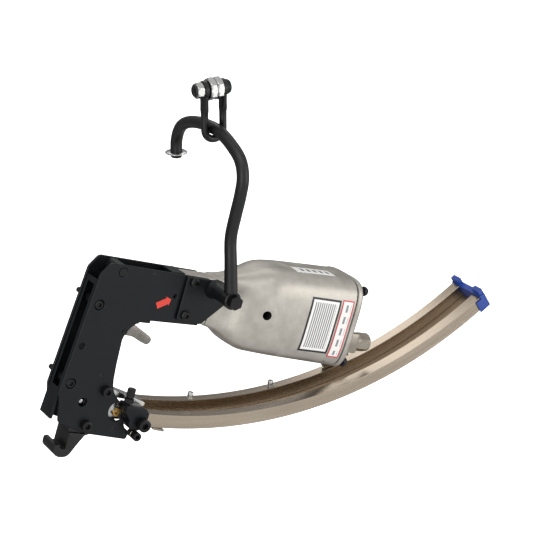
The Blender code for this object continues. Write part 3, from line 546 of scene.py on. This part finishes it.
def frontEdge(z, depth=0.0):
    return edgeTop[0] - (edgeTop[1] - z) * edgeDirection[0] / edgeDirection[1] + depth


plateSpec = {"near": (-14.0, -11.0), "far": (11.0, 14.0), "chamfer": 0.45, "screwHole": 2.8, "window": 4.9}
arch = arcPoints((-55.0, -62.5), 24.0, 174, 96, 17)
notch = arcPoints((-63.5, -128.0), 9.6, 318, 92, 40)
plateCorners = [(-110, 10, 3.0), (*edgeTop, 2.0), (frontEdge(-114), -114, 1.0), (-121, -143.3, 2.5),
                (-90, -151.8, 1.5), (-47.6, -154.6, 2.0), (-46, -147, 1.2), (-52, -143, 1.0)]
lowerLeg = [(-68, -115), (-72.2, -110.5), (-75, -105), (-76.6, -97), (-77.8, -84)]
# the arm's end and the outline are rounded with one neighbour too many on each side, which is dropped again
armEnd = roundedCorners([(-30, -38.1, 0.1), (-5, -37.7, 1.2), (-5, 7.9, 1.2), (-40, 8.6, 0.1)], 1.0)[6:18]
plateLoop = np.vstack([roundedCorners([(-68, -115, 0.1)] + [(-40, 8.6, 0.1)] + plateCorners, 1.0)[12:], notch,
                       lowerLeg, arch, armEnd])


def roundHole(spot, radius, steps=40):
    a = circle(steps)
    return np.stack([spot[0] + radius * np.cos(a), spot[1] + radius * np.sin(a)], -1)


def roundHoles(spots, radius):
    return [roundHole(spot, radius) for spot in spots]


spacerSpots = [(-111.1, -29.6), (-118.4, -105.2)]
leverSpot, triggerSpot = (-96.0, 3.0), (-78.9, -51.6)
screwHole = plateSpec["screwHole"]
sharedHoles = roundHoles([leverSpot], 4.3) + roundHoles([triggerSpot], 2.3)
sharedHoles += roundHoles(noseScrews.values(), screwHole)
nearHoles = sharedHoles + roundHoles(spacerSpots, plateSpec["window"])
nearHoles += roundHoles(bracketScrews.values(), screwHole)
nearHoles += roundHoles([(-101.5, -122.0)], 4.2) + roundHoles([(-37.0, -12.6)], 1.8)
nearHoles += roundHoles([(-117.6, -69.3)], 3.0)
platePiece("nearSidePlate", plateLoop, nearHoles, *plateSpec["near"], "frame", powderCoat,
           ("near_side_plate",), plateSpec["chamfer"])
farHoles = sharedHoles + roundHoles(spacerSpots, 3.2)
platePiece("farSidePlate", plateLoop, farHoles, *plateSpec["far"], "frame", powderCoat,
           ("far_side_plate",), plateSpec["chamfer"])
bracketSpec = {"corners": [(-30.8, 8), (8.5, 8), (15.5, -14.5), (-4.5, -35.4), (-30.8, -33.8)], "round": 2.0,
               "span": (-17.3, -14.3), "boltHole": 4.3}
bracketHoles = roundHoles(bracketScrews.values(), screwHole) + roundHoles([(0, 0)], bracketSpec["boltHole"])
platePiece("hangerBracket", roundedCorners(bracketSpec["corners"], bracketSpec["round"]), bracketHoles,
           *bracketSpec["span"], "frame", powderCoat, ("hanger_bracket",))
print("side plates made")

# rows of (distance along the barrel, middle height, half height, half width, squareness)
barrelRows = [(-29.5, -14.0, 22.4, 10.6, 9), (-14, -14.1, 22.6, 10.6, 9), (2.0, -14.4, 23.0, 10.6, 9),
              (4.5, -14.6, 24.0, 13.4, 6), (10, -15.0, 25.0, 13.7, 5.5), (17.0, -15.4, 26.8, 14.6, 5),
              (24, -16.8, 29.8, 18.6, 4.2), (31.0, -17.8, 33.3, 24.0, 3.6), (38, -18.0, 36.0, 28.4, 3.4),
              (46.0, -17.6, 38.8, 32.0, 3.4), (58.0, -15.6, 41.4, 34.9, 3.6), (74.0, -14.9, 42.8, 36.2, 3.8),
              (95, -14.9, 43.6, 36.7, 3.9), (120, -15.0, 44.3, 37.1, 4.0), (149.7, -15.2, 45.0, 37.6, 4.2)]
barrelTable = smoothPath(barrelRows, 10)
portSpec = {"at": (53.6, -14.1), "hole": 4.4, "flare": 1.2, "padRadius": 11.5, "padSlope": 4.0,
            "padHigh": 0.7}
portX, portZ = portSpec["at"]


def barrelRings(table, steps=144):
    # superellipse |y/w|^n + |z/h|^n = 1 at every distance, with a low round pad raised around the port
    a = circle(steps)[None, :] + 0.01
    x, middle, halfHigh, halfWide, power = (table[:, k:k + 1] for k in range(5))
    c, s = np.cos(a), np.sin(a)
    y = halfWide * np.sign(c) * np.abs(c) ** (2 / power)
    z = middle + halfHigh * np.sign(s) * np.abs(s) ** (2 / power)
    x = np.broadcast_to(x, y.shape)
    reach = np.hypot(x - portX, z - portZ)
    slope = np.clip((portSpec["padRadius"] - reach) / portSpec["padSlope"], 0, 1)
    pad = portSpec["padHigh"] * slope ** 2 * (3 - 2 * slope)
    return np.stack([x, np.where(y < 0, y - pad, y), z], -1)


def cutAway(piece, cutters):
    # takes round plugs out of a piece and keeps the result as its mesh
    for plug in cutters:
        change = piece.modifiers.new("cut", "BOOLEAN")
        change.operation, change.solver, change.object = "DIFFERENCE", "EXACT", plug
    graph = bpy.context.evaluated_depsgraph_get()
    piece.data = bpy.data.meshes.new_from_object(piece.evaluated_get(graph))
    piece.modifiers.clear()
    for plug in cutters:
        bpy.data.objects.remove(plug, do_unlink=True)
    piece.data.materials.clear()
    piece.data.materials.append(castAluminium)
    # second finish: the black rubber, used here as painted shade inside the port
    piece.data.materials.append(rubberAndPortShade)
    # the port's wall and bottom get the black rubber finish as painted shade of the deep hole; its rim stays
    # bare
    rim = Vector(onTool((portX, -35.5, portZ)))
    for face in piece.data.polygons:
        depth = (face.center - rim) * 1000
        facesAcross = abs(face.normal.y) < 0.3 or depth.y > 10
        portShadeFace = 0 < depth.y < 19 and np.hypot(depth.x, depth.z) < 4.7 and facesAcross
        face.material_index = 1 if portShadeFace else 0
    piece.data.shade_smooth()
    piece.data.set_sharp_from_angle(angle=np.radians(32))
    return piece


def roundPlug(name, start, end, radius, flare=0.0):
    # a cutter shaped as a cylinder, wider by flare at its start
    length = np.linalg.norm(np.subtract(end, start))
    profile = [(radius + flare, 0), (radius, flare * 1.2 + 0.01), (radius, length)]
    rings = turnedRings(profile, start, np.subtract(end, start))
    return ringsPiece(name, rings, onTool, "frame", castAluminium)


barrel = ringsPiece("barrelCasting", barrelRings(barrelTable), onTool, "frame", castAluminium,
                    ("cylinder_body",), 32)
cutAway(barrel, [roundPlug("portPlug", (portX, -37.4, portZ), (portX, -18, portZ), portSpec["hole"],
                           portSpec["flare"]),
                 roundPlug("rodPlug", (-32, 0, -16), (25, 0, -16), 7.9)])

coverRows = [(151.1, 0.9), (151.5, 0.2), (152.0, 0), (155.2, 0), (156.6, 0.35), (157.6, 1.2), (158.0, 2.6)]
coverTable = np.array([(x, -15.2, 45.4 - d, 38.0 - d, 4.4) for x, d in coverRows])
ringsPiece("endCover", barrelRings(coverTable), onTool, "frame", castAluminium, ("end_cover",), 30)
gasketTable = np.array([(x, -15.2, 44.3, 36.9, 4.3) for x in (149.75, 150.4, 151.05)])
ringsPiece("coverGasket", barrelRings(gasketTable), onTool, "frame", rubberAndPortShade)


def barrelSection(x):
    # middle height, half height, half width and squareness at a distance along the barrel
    return [np.interp(x, barrelTable[:, 0], barrelTable[:, k]) for k in range(1, 5)]


def barrelSide(x, z):
    # how far the near side stands out at a distance and a height, from the same superellipse
    middle, halfHigh, halfWide, power = barrelSection(x)
    return -halfWide * (1 - np.clip(np.abs((z - middle) / halfHigh), 0, 0.999) ** power) ** (1 / power)


def barrelTop(x, y):
    # how high the top stands at a distance and a place across, from the same superellipse
    middle, halfHigh, halfWide, power = barrelSection(x)
    return middle + halfHigh * (1 - np.clip(np.abs(y / halfWide), 0, 0.999) ** power) ** (1 / power)


def printedFinish(name, ground, border, edgeShare, bars, barShade, fieldAspect, blocks=0):
    # printed vinyl seen from a metre: a border, a ground and plain grey bars or blocks, with no lettering
    made, tree = emptyFinish(name, "cast_aluminium")
    place = addNode(tree, "ShaderNodeUVMap")
    parts = addNode(tree, "ShaderNodeSeparateXYZ", Vector=(place, "UV"))

    def worked(kind, one, two=0.0):
        return addNode(tree, "ShaderNodeMath", {"operation": kind}, i0=one, i1=two), "Value"

    def insideBy(share):
        # 1 where the place is further than a share of the width from every edge
        nearest = [worked("MINIMUM", (parts, axis), worked("SUBTRACT", 1.0, (parts, axis))) for axis in "XY"]
        return worked("MULTIPLY", worked("GREATER_THAN", nearest[0], share),
                      worked("GREATER_THAN", nearest[1], share * fieldAspect))

    def stripes(axis, count, share):
        # 1 in the first share of each of count equal stripes
        return worked("LESS_THAN", worked("FRACT", worked("MULTIPLY", (parts, axis), float(count))), share)

    printed = stripes("X", bars, 0.5)
    if blocks:
        printed = worked("MULTIPLY", printed, stripes("Y", blocks, 0.62))
    edged = addNode(tree, "ShaderNodeMix", {"data_type": "RGBA"}, i0=insideBy(edgeShare),
                    i6=hexColour(border), i7=hexColour(ground))
    inked = addNode(tree, "ShaderNodeMix", {"data_type": "RGBA"},
                    i0=worked("MULTIPLY", insideBy(edgeShare * 2.2), printed), i6=(edged, 2),
                    i7=hexColour(barShade))
    where = addNode(tree, "ShaderNodeTexCoord")
    scaled = addNode(tree, "ShaderNodeMapping", Vector=(where, "Object"), Scale=(1000, 1000, 1000))
    grain = addNode(tree, "ShaderNodeTexNoise", Vector=(scaled, "Vector"), Scale=0.4, Detail=2.0)
    gloss = addNode(tree, "ShaderNodeMapRange", Value=(grain, "Fac"), i1=0.3, i2=0.7, i3=0.3, i4=0.42)
    bump = addNode(tree, "ShaderNodeBump", Height=(grain, "Fac"), Strength=1.0, Distance=0.00002)
    shader = addNode(tree, "ShaderNodeBsdfPrincipled", Base_Color=(inked, 2), Roughness=(gloss, "Result"),
                     Normal=(bump, "Normal"), IOR=1.5)
    addNode(tree, "ShaderNodeOutputMaterial", Surface=(shader, "BSDF"))
    return made


def stickerPiece(name, front, thickness, toward, body, finish):
    # a sheet laid on a surface: front is a (rows, cols, 3) grid, closed by the same grid moved back
    rows, cols = front.shape[:2]
    back = front - np.array(toward, float) * thickness
    u, v = np.meshgrid(np.linspace(0, 1, rows), np.linspace(0, 1, cols), indexing="ij")
    uv = np.tile(np.stack([u, v], -1).reshape(-1, 2), (2, 1))
    n = rows * cols
    faces = [gridFaces(rows, cols, wrapCols=False), gridFaces(rows, cols, wrapCols=False)[:, ::-1] + n]
    rim = np.concatenate([np.arange(cols), np.arange(2, rows + 1) * cols - 1,
                          (rows - 1) * cols + np.arange(cols - 2, -1, -1), np.arange(rows - 2, 0, -1) * cols])
    faces.append(np.stack([rim, rim + n, np.roll(rim, -1) + n, np.roll(rim, -1)], -1))
    mesh = bpy.data.meshes.new(name)
    mesh.from_pydata(onTool(np.concatenate([front.reshape(-1, 3), back.reshape(-1, 3)])).tolist(), [],
                     np.concatenate(faces).tolist())
    corner = np.zeros(len(mesh.loops), np.int32)
    mesh.loops.foreach_get("vertex_index", corner)
    mesh.uv_layers.new(name="UVMap").data.foreach_set("uv", uv[corner].astype(np.float32).ravel())
    graph = bmesh.new()
    graph.from_mesh(mesh)
    bmesh.ops.recalc_face_normals(graph, faces=graph.faces)
    graph.to_mesh(mesh)
    graph.free()
    piece = addObject(name, mesh)
    return dress(piece, body, finish, (), 30)


def sideSticker(name, spec, finish):
    x, z = np.meshgrid(np.linspace(*spec["along"], 14), np.linspace(*spec["high"], 40), indexing="ij")
    front = np.stack([x, barrelSide(x, z) - 0.22, z], -1)
    return stickerPiece(name, front, 0.16, (0, -1, 0), "frame", finish)


# vinyl plates: white ground, black or red border, plain grey bars where the print is
stickers = {"wide": {"along": (98.3, 132.5), "high": (-44, 10.6), "border": "#16161a", "bars": 14},
            "narrow": {"along": (134.3, 147.6), "high": (-47.0, 11.5), "border": "#c8303a", "bars": 2.6},
            "top": {"along": (86, 131), "across": (-17.5, -3), "bars": 6}}
sideSticker("sidePlateWide", stickers["wide"],
            printedFinish("vinyl_black_border", "#e9e7e3", stickers["wide"]["border"], 0.06,
                          stickers["wide"]["bars"], "#77767a", 0.62))
sideSticker("sidePlateNarrow", stickers["narrow"],
            printedFinish("vinyl_red_border", "#e9e7e3", stickers["narrow"]["border"], 0.09,
                          stickers["narrow"]["bars"], "#8a898c", 0.23, 5))
top = stickers["top"]
topX, topY = np.meshgrid(np.linspace(*top["along"], 30), np.linspace(*top["across"], 14), indexing="ij")
topFront = np.stack([topX, topY, barrelTop(topX, topY) + 0.22], -1)
stickerPiece("topPlate", topFront, 0.16, (0, 0, 1), "frame",
             printedFinish("vinyl_plain", "#e6e4e0", "#e6e4e0", 0.04, top["bars"], "#6f6e72", 3.0))
print("barrel made")

# a plain red arrow stuck on the near plate, without lettering
arrowSpec = {"at": (-47.3, -19.8), "turn": np.radians(30), "scale": 0.86, "span": (-14.22, -14.02)}
arrowFlat = np.array([(-8.6, -3.6), (4.4, -3.6), (4.4, -5.6), (9.2, 0), (4.4, 5.6), (4.4, 3.6), (-8.6, 3.6)])
arrowCos, arrowSin = np.cos(arrowSpec["turn"]), np.sin(arrowSpec["turn"])
arrowLoop = arrowSpec["scale"] * arrowFlat @ np.array([[arrowCos, arrowSin], [-arrowSin, arrowCos]])
platePiece("redArrow", arrowLoop + arrowSpec["at"], [], *arrowSpec["span"], "frame", redVinyl, chamfer=0.05)

arcMiddle, arcRadius = np.array([-22.0, 321.3]), 459.0
magazine = {"start": -91.7, "end": -40.8, "nearHigh": 13.0, "farHigh": 15.6, "near": (-22.3, -9.9),
            "far": (10.7, 22.3), "wall": 1.6, "edge": 0.35}
arcAngles = np.linspace(magazine["start"], magazine["end"], 180)


def arcRings(angles, section):
    # a flat section of (across, height above the outer radius) carried along the magazine's arc
    a = np.radians(angles)[:, None]
    reach = arcRadius - section[None, :, 1]
    y = np.broadcast_to(section[None, :, 0], (len(angles), len(section)))
    return np.stack([arcMiddle[0] + reach * np.cos(a), y, arcMiddle[1] + reach * np.sin(a)], -1)


def arcGrain(angles, section):
    # millimetres along the strip, across it and up it
    along = np.broadcast_to((np.radians(angles) * arcRadius)[:, None], (len(angles), len(section)))
    return np.stack([along, np.broadcast_to(section[None, :, 0], along.shape),
                     np.broadcast_to(section[None, :, 1], along.shape)], -1)


def boxSection(y0, y1, h0, h1, bevel):
    # a rectangle with each corner cut flat, so that the wide faces stay flat and the edges catch light
    corners = [(y0, h0), (y1, h0), (y1, h1), (y0, h1)]
    loop = []
    for k, (y, h) in enumerate(corners):
        for other in (corners[k - 1], corners[(k + 1) % 4]):
            away = np.sign(np.subtract(other, (y, h)))
            loop.append((y + bevel * away[0], h + bevel * away[1]))
    return np.array(loop)


def railPiece(name, span, high, node):
    # a bent box tube: the outer section runs out along the arc and the inner one runs back
    y0, y1 = span
    w = magazine["wall"]
    outer = boxSection(y0, y1, 0, high, magazine["edge"])
    inner = boxSection(y0 + w, y1 - w, w, high - w, magazine["edge"])
    rings = np.concatenate([arcRings(arcAngles, outer), arcRings(arcAngles[::-1], inner)])
    grain = np.concatenate([arcGrain(arcAngles, outer), arcGrain(arcAngles[::-1], inner)])
    return ringsPiece(name, rings, onTool, "frame", nickelStrip, (node,), 25, closed=True, grain=grain)


railPiece("nearRail", magazine["near"], magazine["nearHigh"], "near_rail")
railPiece("farRail", magazine["far"], magazine["farHigh"], "far_rail")
floorSection = boxSection(magazine["near"][1] + 0.3, magazine["far"][0] - 0.3, 1.0, 3.0, 0.3)
ringsPiece("magazineFloor", arcRings(arcAngles, floorSection), onTool, "frame", nickelStrip,
           ("magazine_floor",), 25, grain=arcGrain(arcAngles, floorSection))


def onArc(angle, height, y):
    a, reach = np.radians(angle), arcRadius - height
    return (arcMiddle[0] + reach * np.cos(a), y, arcMiddle[1] + reach * np.sin(a))


railScrews = {"across": 17, "angles": {"Front": -83.3, "Rear": -71.5}, "head": (2.9, 5.6), "shank": (1.5, 8)}
railWasherProfile = [(1.7, 0), (3.9, 0), (4.1, 0.2), (4.1, 0.5), (3.9, 0.7), (1.7, 0.7)]
for place, angle in railScrews["angles"].items():
    up = (-np.cos(np.radians(angle)), 0, -np.sin(np.radians(angle)))
    seat = onArc(angle, magazine["farHigh"] + 0.3, railScrews["across"])
    hexSocketScrew("railScrew" + place, seat, up, railScrews["head"], railScrews["shank"], False, zincPlate,
                   ("rail_screw_" + place.lower(),))
    face = onArc(angle, magazine["farHigh"] - 0.05, railScrews["across"])
    ringsPiece("railWasher" + place, turnedRings(railWasherProfile, face, up, 40), onTool, "frame", zincPlate,
               closed=True)
print("magazine made")

# thumb screw: a straight knurl as small ridges around its wide foot and its stem
thumbSpec = {"at": (-56.2, -15.6, -117.8), "foot": 4.4, "stem": 3.9, "ridge": 0.22, "ridges": 32}


def knurled(a, radius, distance):
    # radius less ridge * |sin(a * ridges / 2)| on the two knurled bands
    ridge = thumbSpec["ridge"] * np.abs(np.sin(a * thumbSpec["ridges"] / 2))
    band = ((distance > 6.6) & (distance < 13.0)) | ((distance > 0.6) & (distance < 4.2))
    return np.where(band & (radius > 3.5), radius - ridge, radius)


foot, stem = thumbSpec["foot"], thumbSpec["stem"]
thumbRows = [(foot - 0.3, 0), (foot, 0.3)] + [(foot, d) for d in np.linspace(0.7, 4.1, 6)]
thumbRows += [(foot, 4.5), (3.0, 5.2), (3.0, 5.8), (stem, 6.2)]
thumbRows += [(stem, d) for d in np.linspace(6.7, 12.9, 10)]
thumbRows += [(stem, 13.3), (stem - 0.3, 13.8), (3.0, 14.1), (1.2, 14.2)]
ringsPiece("thumbScrew", turnedRings(thumbRows, thumbSpec["at"], (0, 0, 1), 128, knurled), onTool, "thumb",
           blackOxide, ("thumb_screw",), 50)

# front screws across both plates with their nuts behind, and the swivel nut of the inlet
frontNut = {"span": (14.3, 18.6), "acrossFlats": 9.6, "hole": 2.8}
inletSpec = {"at": (188.3, -0.6, -38), "long": 17.0, "acrossFlats": 17.0, "hole": 4.2}
frontRows = [(2.2, -45), (2.6, -44.4), (2.6, -17), (4.2, -17), (4.2, -0.6), (3.6, 0), (2.1, 0), (2.1, -1.6)]
for place, (x, z) in zip(("Upper", "Lower"), spacerSpots):
    ringsPiece("frontScrew" + place, turnedRings(frontRows, (x, -14.0, z), nearAxis, 48), onTool, "frame",
               blackOxide, ("front_screw_" + place.lower(),))
    hexNut("frontNut" + place, (x, frontNut["span"][0], z), (x, frontNut["span"][1], z),
           frontNut["acrossFlats"], frontNut["hole"], "frame", zincPlate, (), onTool)
inletEnd = np.add(inletSpec["at"], (inletSpec["long"], 0, 0))
hexNut("inletNut", inletSpec["at"], inletEnd, inletSpec["acrossFlats"], inletSpec["hole"], "swivel",
       nickelPlate, ("inlet_swivel",), onTool)

# small pieces seen in the openings and on the plates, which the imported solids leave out
# each pin: its place in the side view, its radius and the depths it runs between
pinSpots = {"nosePin": ((-102.0, -122.2), 2.0, -10.6, 10.6, groundSteel),
            "clipPawl": ((-68.0, -125.2), 3.6, -10.5, -7.6, groundSteel),
            "dowelUpper": ((-92.1, -96.0), 2.6, -14.12, -11.2, blackOxide),
            "dowelLower": ((-65.0, -146.2), 3.2, -14.12, -11.2, blackOxide),
            "neckMark": ((-65.0, 4.7), 2.2, -14.08, -11.2, blackOxide)}
for name, ((x, z), r, low, high, finish) in pinSpots.items():
    profile = [(r - 0.5, 0), (r, 0.2), (r, high - low - 0.2), (r - 0.5, high - low)]
    ringsPiece(name, turnedRings(profile, (x, high, z), nearAxis, 40), onTool, "frame", finish)
# each sleeve: its rear end, its inner and outer radius and its length
sleeves = {"trackBush": ((-61.8, -7.7, -130.2), 2.2, 4.3, 2.2, turnedBrass),
           "screwSleeve": ((-44.8, -14.35, -146.2), 2.6, 4.1, 7.0, nickelPlate)}
for name, (base, inner, outer, length, finish) in sleeves.items():
    profile = [(inner, 0), (outer - 0.3, 0), (outer, 0.3), (outer, length - 0.3), (outer - 0.3, length),
               (inner, length)]
    ringsPiece(name, turnedRings(profile, base, nearAxis, 48), onTool, "frame", finish, closed=True)
hexSocketScrew("neckScrew", (-6.1, -6.0, -36.9), (0, 0, -1), (2.6, 2.6), (1.2, 2), True, zincPlate)
lugSpec = {"corners": [(-25, -138.4), (-13, -139.8), (-13, -142.2), (-25, -141.0)], "round": 0.8,
           "span": (-20.0, -12.0)}
platePiece("magazineLug", roundedCorners(lugSpec["corners"], lugSpec["round"]), [], *lugSpec["span"], "frame",
           nickelPlate, (), 0.3)

# blocky parts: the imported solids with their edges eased
# node: (piece, width of the eased edge in millimetres, finish)
easedParts = {"bag_hook": ("bagHook", 0.7, barCoat), "nose_side_block": ("noseSideBlock", 0.6, powderCoat),
              "trigger": ("triggerLever", 0.9, handledCasting),
              "front_channel": ("frontChannel", 0.35, powderCoat),
              "top_bridge": ("topBridge", 0.4, powderCoat),
              "inlet_block": ("inletBlock", 0.8, nickelPlate),
              "magazine_bracket": ("magazineBracket", 0.35, nickelPlate),
              "nose_block": ("noseBlock", 0.4, powderCoat),
              "magazine_front_bracket": ("magazineFrontBracket", 0.35, zincPlate),
              "magazine_end_cap": ("magazineEndCap", 0.7, bluePlastic)}
for node, (name, width, finish) in easedParts.items():
    easedCopy(node, name, width, finish)
print("blocks eased")

lookFrom, lookAt = np.array([-0.6745, -1.2143, 0.3628]), np.array([0.0564, 0.0020, -0.1819])


def floorMaterial():
    # matt white paper, with a breath of tone so that it isn't one flat colour
    made = bpy.data.materials.new("white_paper")
    made.use_nodes = True
    tree = made.node_tree
    shader = tree.nodes["Principled BSDF"]
    where = addNode(tree, "ShaderNodeTexCoord")
    cloud = addNode(tree, "ShaderNodeTexNoise", Vector=(where, "Object"), Scale=1.5, Detail=2.0)
    tone = addNode(tree, "ShaderNodeMix", {"data_type": "RGBA"}, i0=(cloud, "Fac"), i6=hexColour("#f7f7f6"),
                   i7=hexColour("#fbfbfb"))
    tree.links.new(tone.outputs[2], shader.inputs["Base Color"])
    tree.links.new(tone.outputs[2], shader.inputs["Emission Color"])
    shader.inputs["Emission Strength"].default_value = 1.0
    shader.inputs["Roughness"].default_value = 0.95
    return made


floorSpec = {"height": -0.95, "half": 14.0}
corner = floorSpec["half"] * np.array([(-1, -1), (1, -1), (1, 1), (-1, 1)])
floorMesh = bpy.data.meshes.new("studioFloor")
floorMesh.from_pydata([(x, y, floorSpec["height"]) for x, y in corner.tolist()], [], [(0, 1, 2, 3)])
floorMesh.materials.append(floorMaterial())
studioFloor = addObject("studioFloor", floorMesh)
# the paper stays white behind the tool and isn't mirrored in it as a bright field
studioFloor.visible_glossy = False
studioFloor.visible_diffuse = False


def aimed(thing, place, target):
    thing.location = Vector(place)
    thing.rotation_euler = (Vector(target) - Vector(place)).to_track_quat("-Z", "Y").to_euler()
    return thing


# name: (place in metres, width and height in metres, watts)
softLights = {"topSoftbox": ((-0.5, -0.4, 1.6), (1.8, 1.3), 9),
              "leftSoftbox": ((-1.7, -1.3, 0.1), (0.9, 1.6), 11),
              "rightFill": ((1.5, -1.7, 0.0), (1.2, 1.6), 13),
              "backRim": ((0.9, 1.6, 1.3), (1.2, 0.8), 5)}
for name, (place, size, power) in softLights.items():
    lamp = bpy.data.lights.new(name, "AREA")
    lamp.shape, lamp.size, lamp.size_y, lamp.energy = "RECTANGLE", size[0], size[1], power
    aimed(addObject(name, lamp), place, (0.05, 0, -0.2))

# a pale room: bright in front of the tool, dim behind it, a little brighter overhead
world = bpy.data.worlds.new("studioWorld")
world.use_nodes = True
tree = world.node_tree
skyPlace = addNode(tree, "ShaderNodeTexCoord")
skyParts = addNode(tree, "ShaderNodeSeparateXYZ", Vector=(skyPlace, "Generated"))
ahead = addNode(tree, "ShaderNodeMapRange", Value=(skyParts, "Y"), i1=-1.0, i2=0.9, i3=0.95, i4=0.2)
above = addNode(tree, "ShaderNodeMapRange", Value=(skyParts, "Z"), i1=0.1, i2=0.9, i3=0.0, i4=0.3)
both = addNode(tree, "ShaderNodeMath", {"operation": "ADD"}, i0=(ahead, "Result"), i1=(above, "Result"))
# seen straight, the room is as white as the paper
rays = addNode(tree, "ShaderNodeLightPath")
seen = addNode(tree, "ShaderNodeMath", {"operation": "MAXIMUM"}, i0=(both, "Value"),
               i1=(rays, "Is Camera Ray"))
background = tree.nodes["Background"]
background.inputs["Color"].default_value = (0.98, 0.99, 1.0, 1)
tree.links.new(seen.outputs["Value"], background.inputs["Strength"])
bpy.context.scene.world = world

camera = bpy.data.cameras.new("studioCamera")
camera.lens, camera.sensor_width = 108.07, 36.0
camera.clip_end = 60
cameraObject = aimed(addObject("studioCamera", camera), lookFrom, lookAt)
bpy.context.scene.camera = cameraObject
bpy.context.scene.view_settings.view_transform = "Standard"
print("stage set")
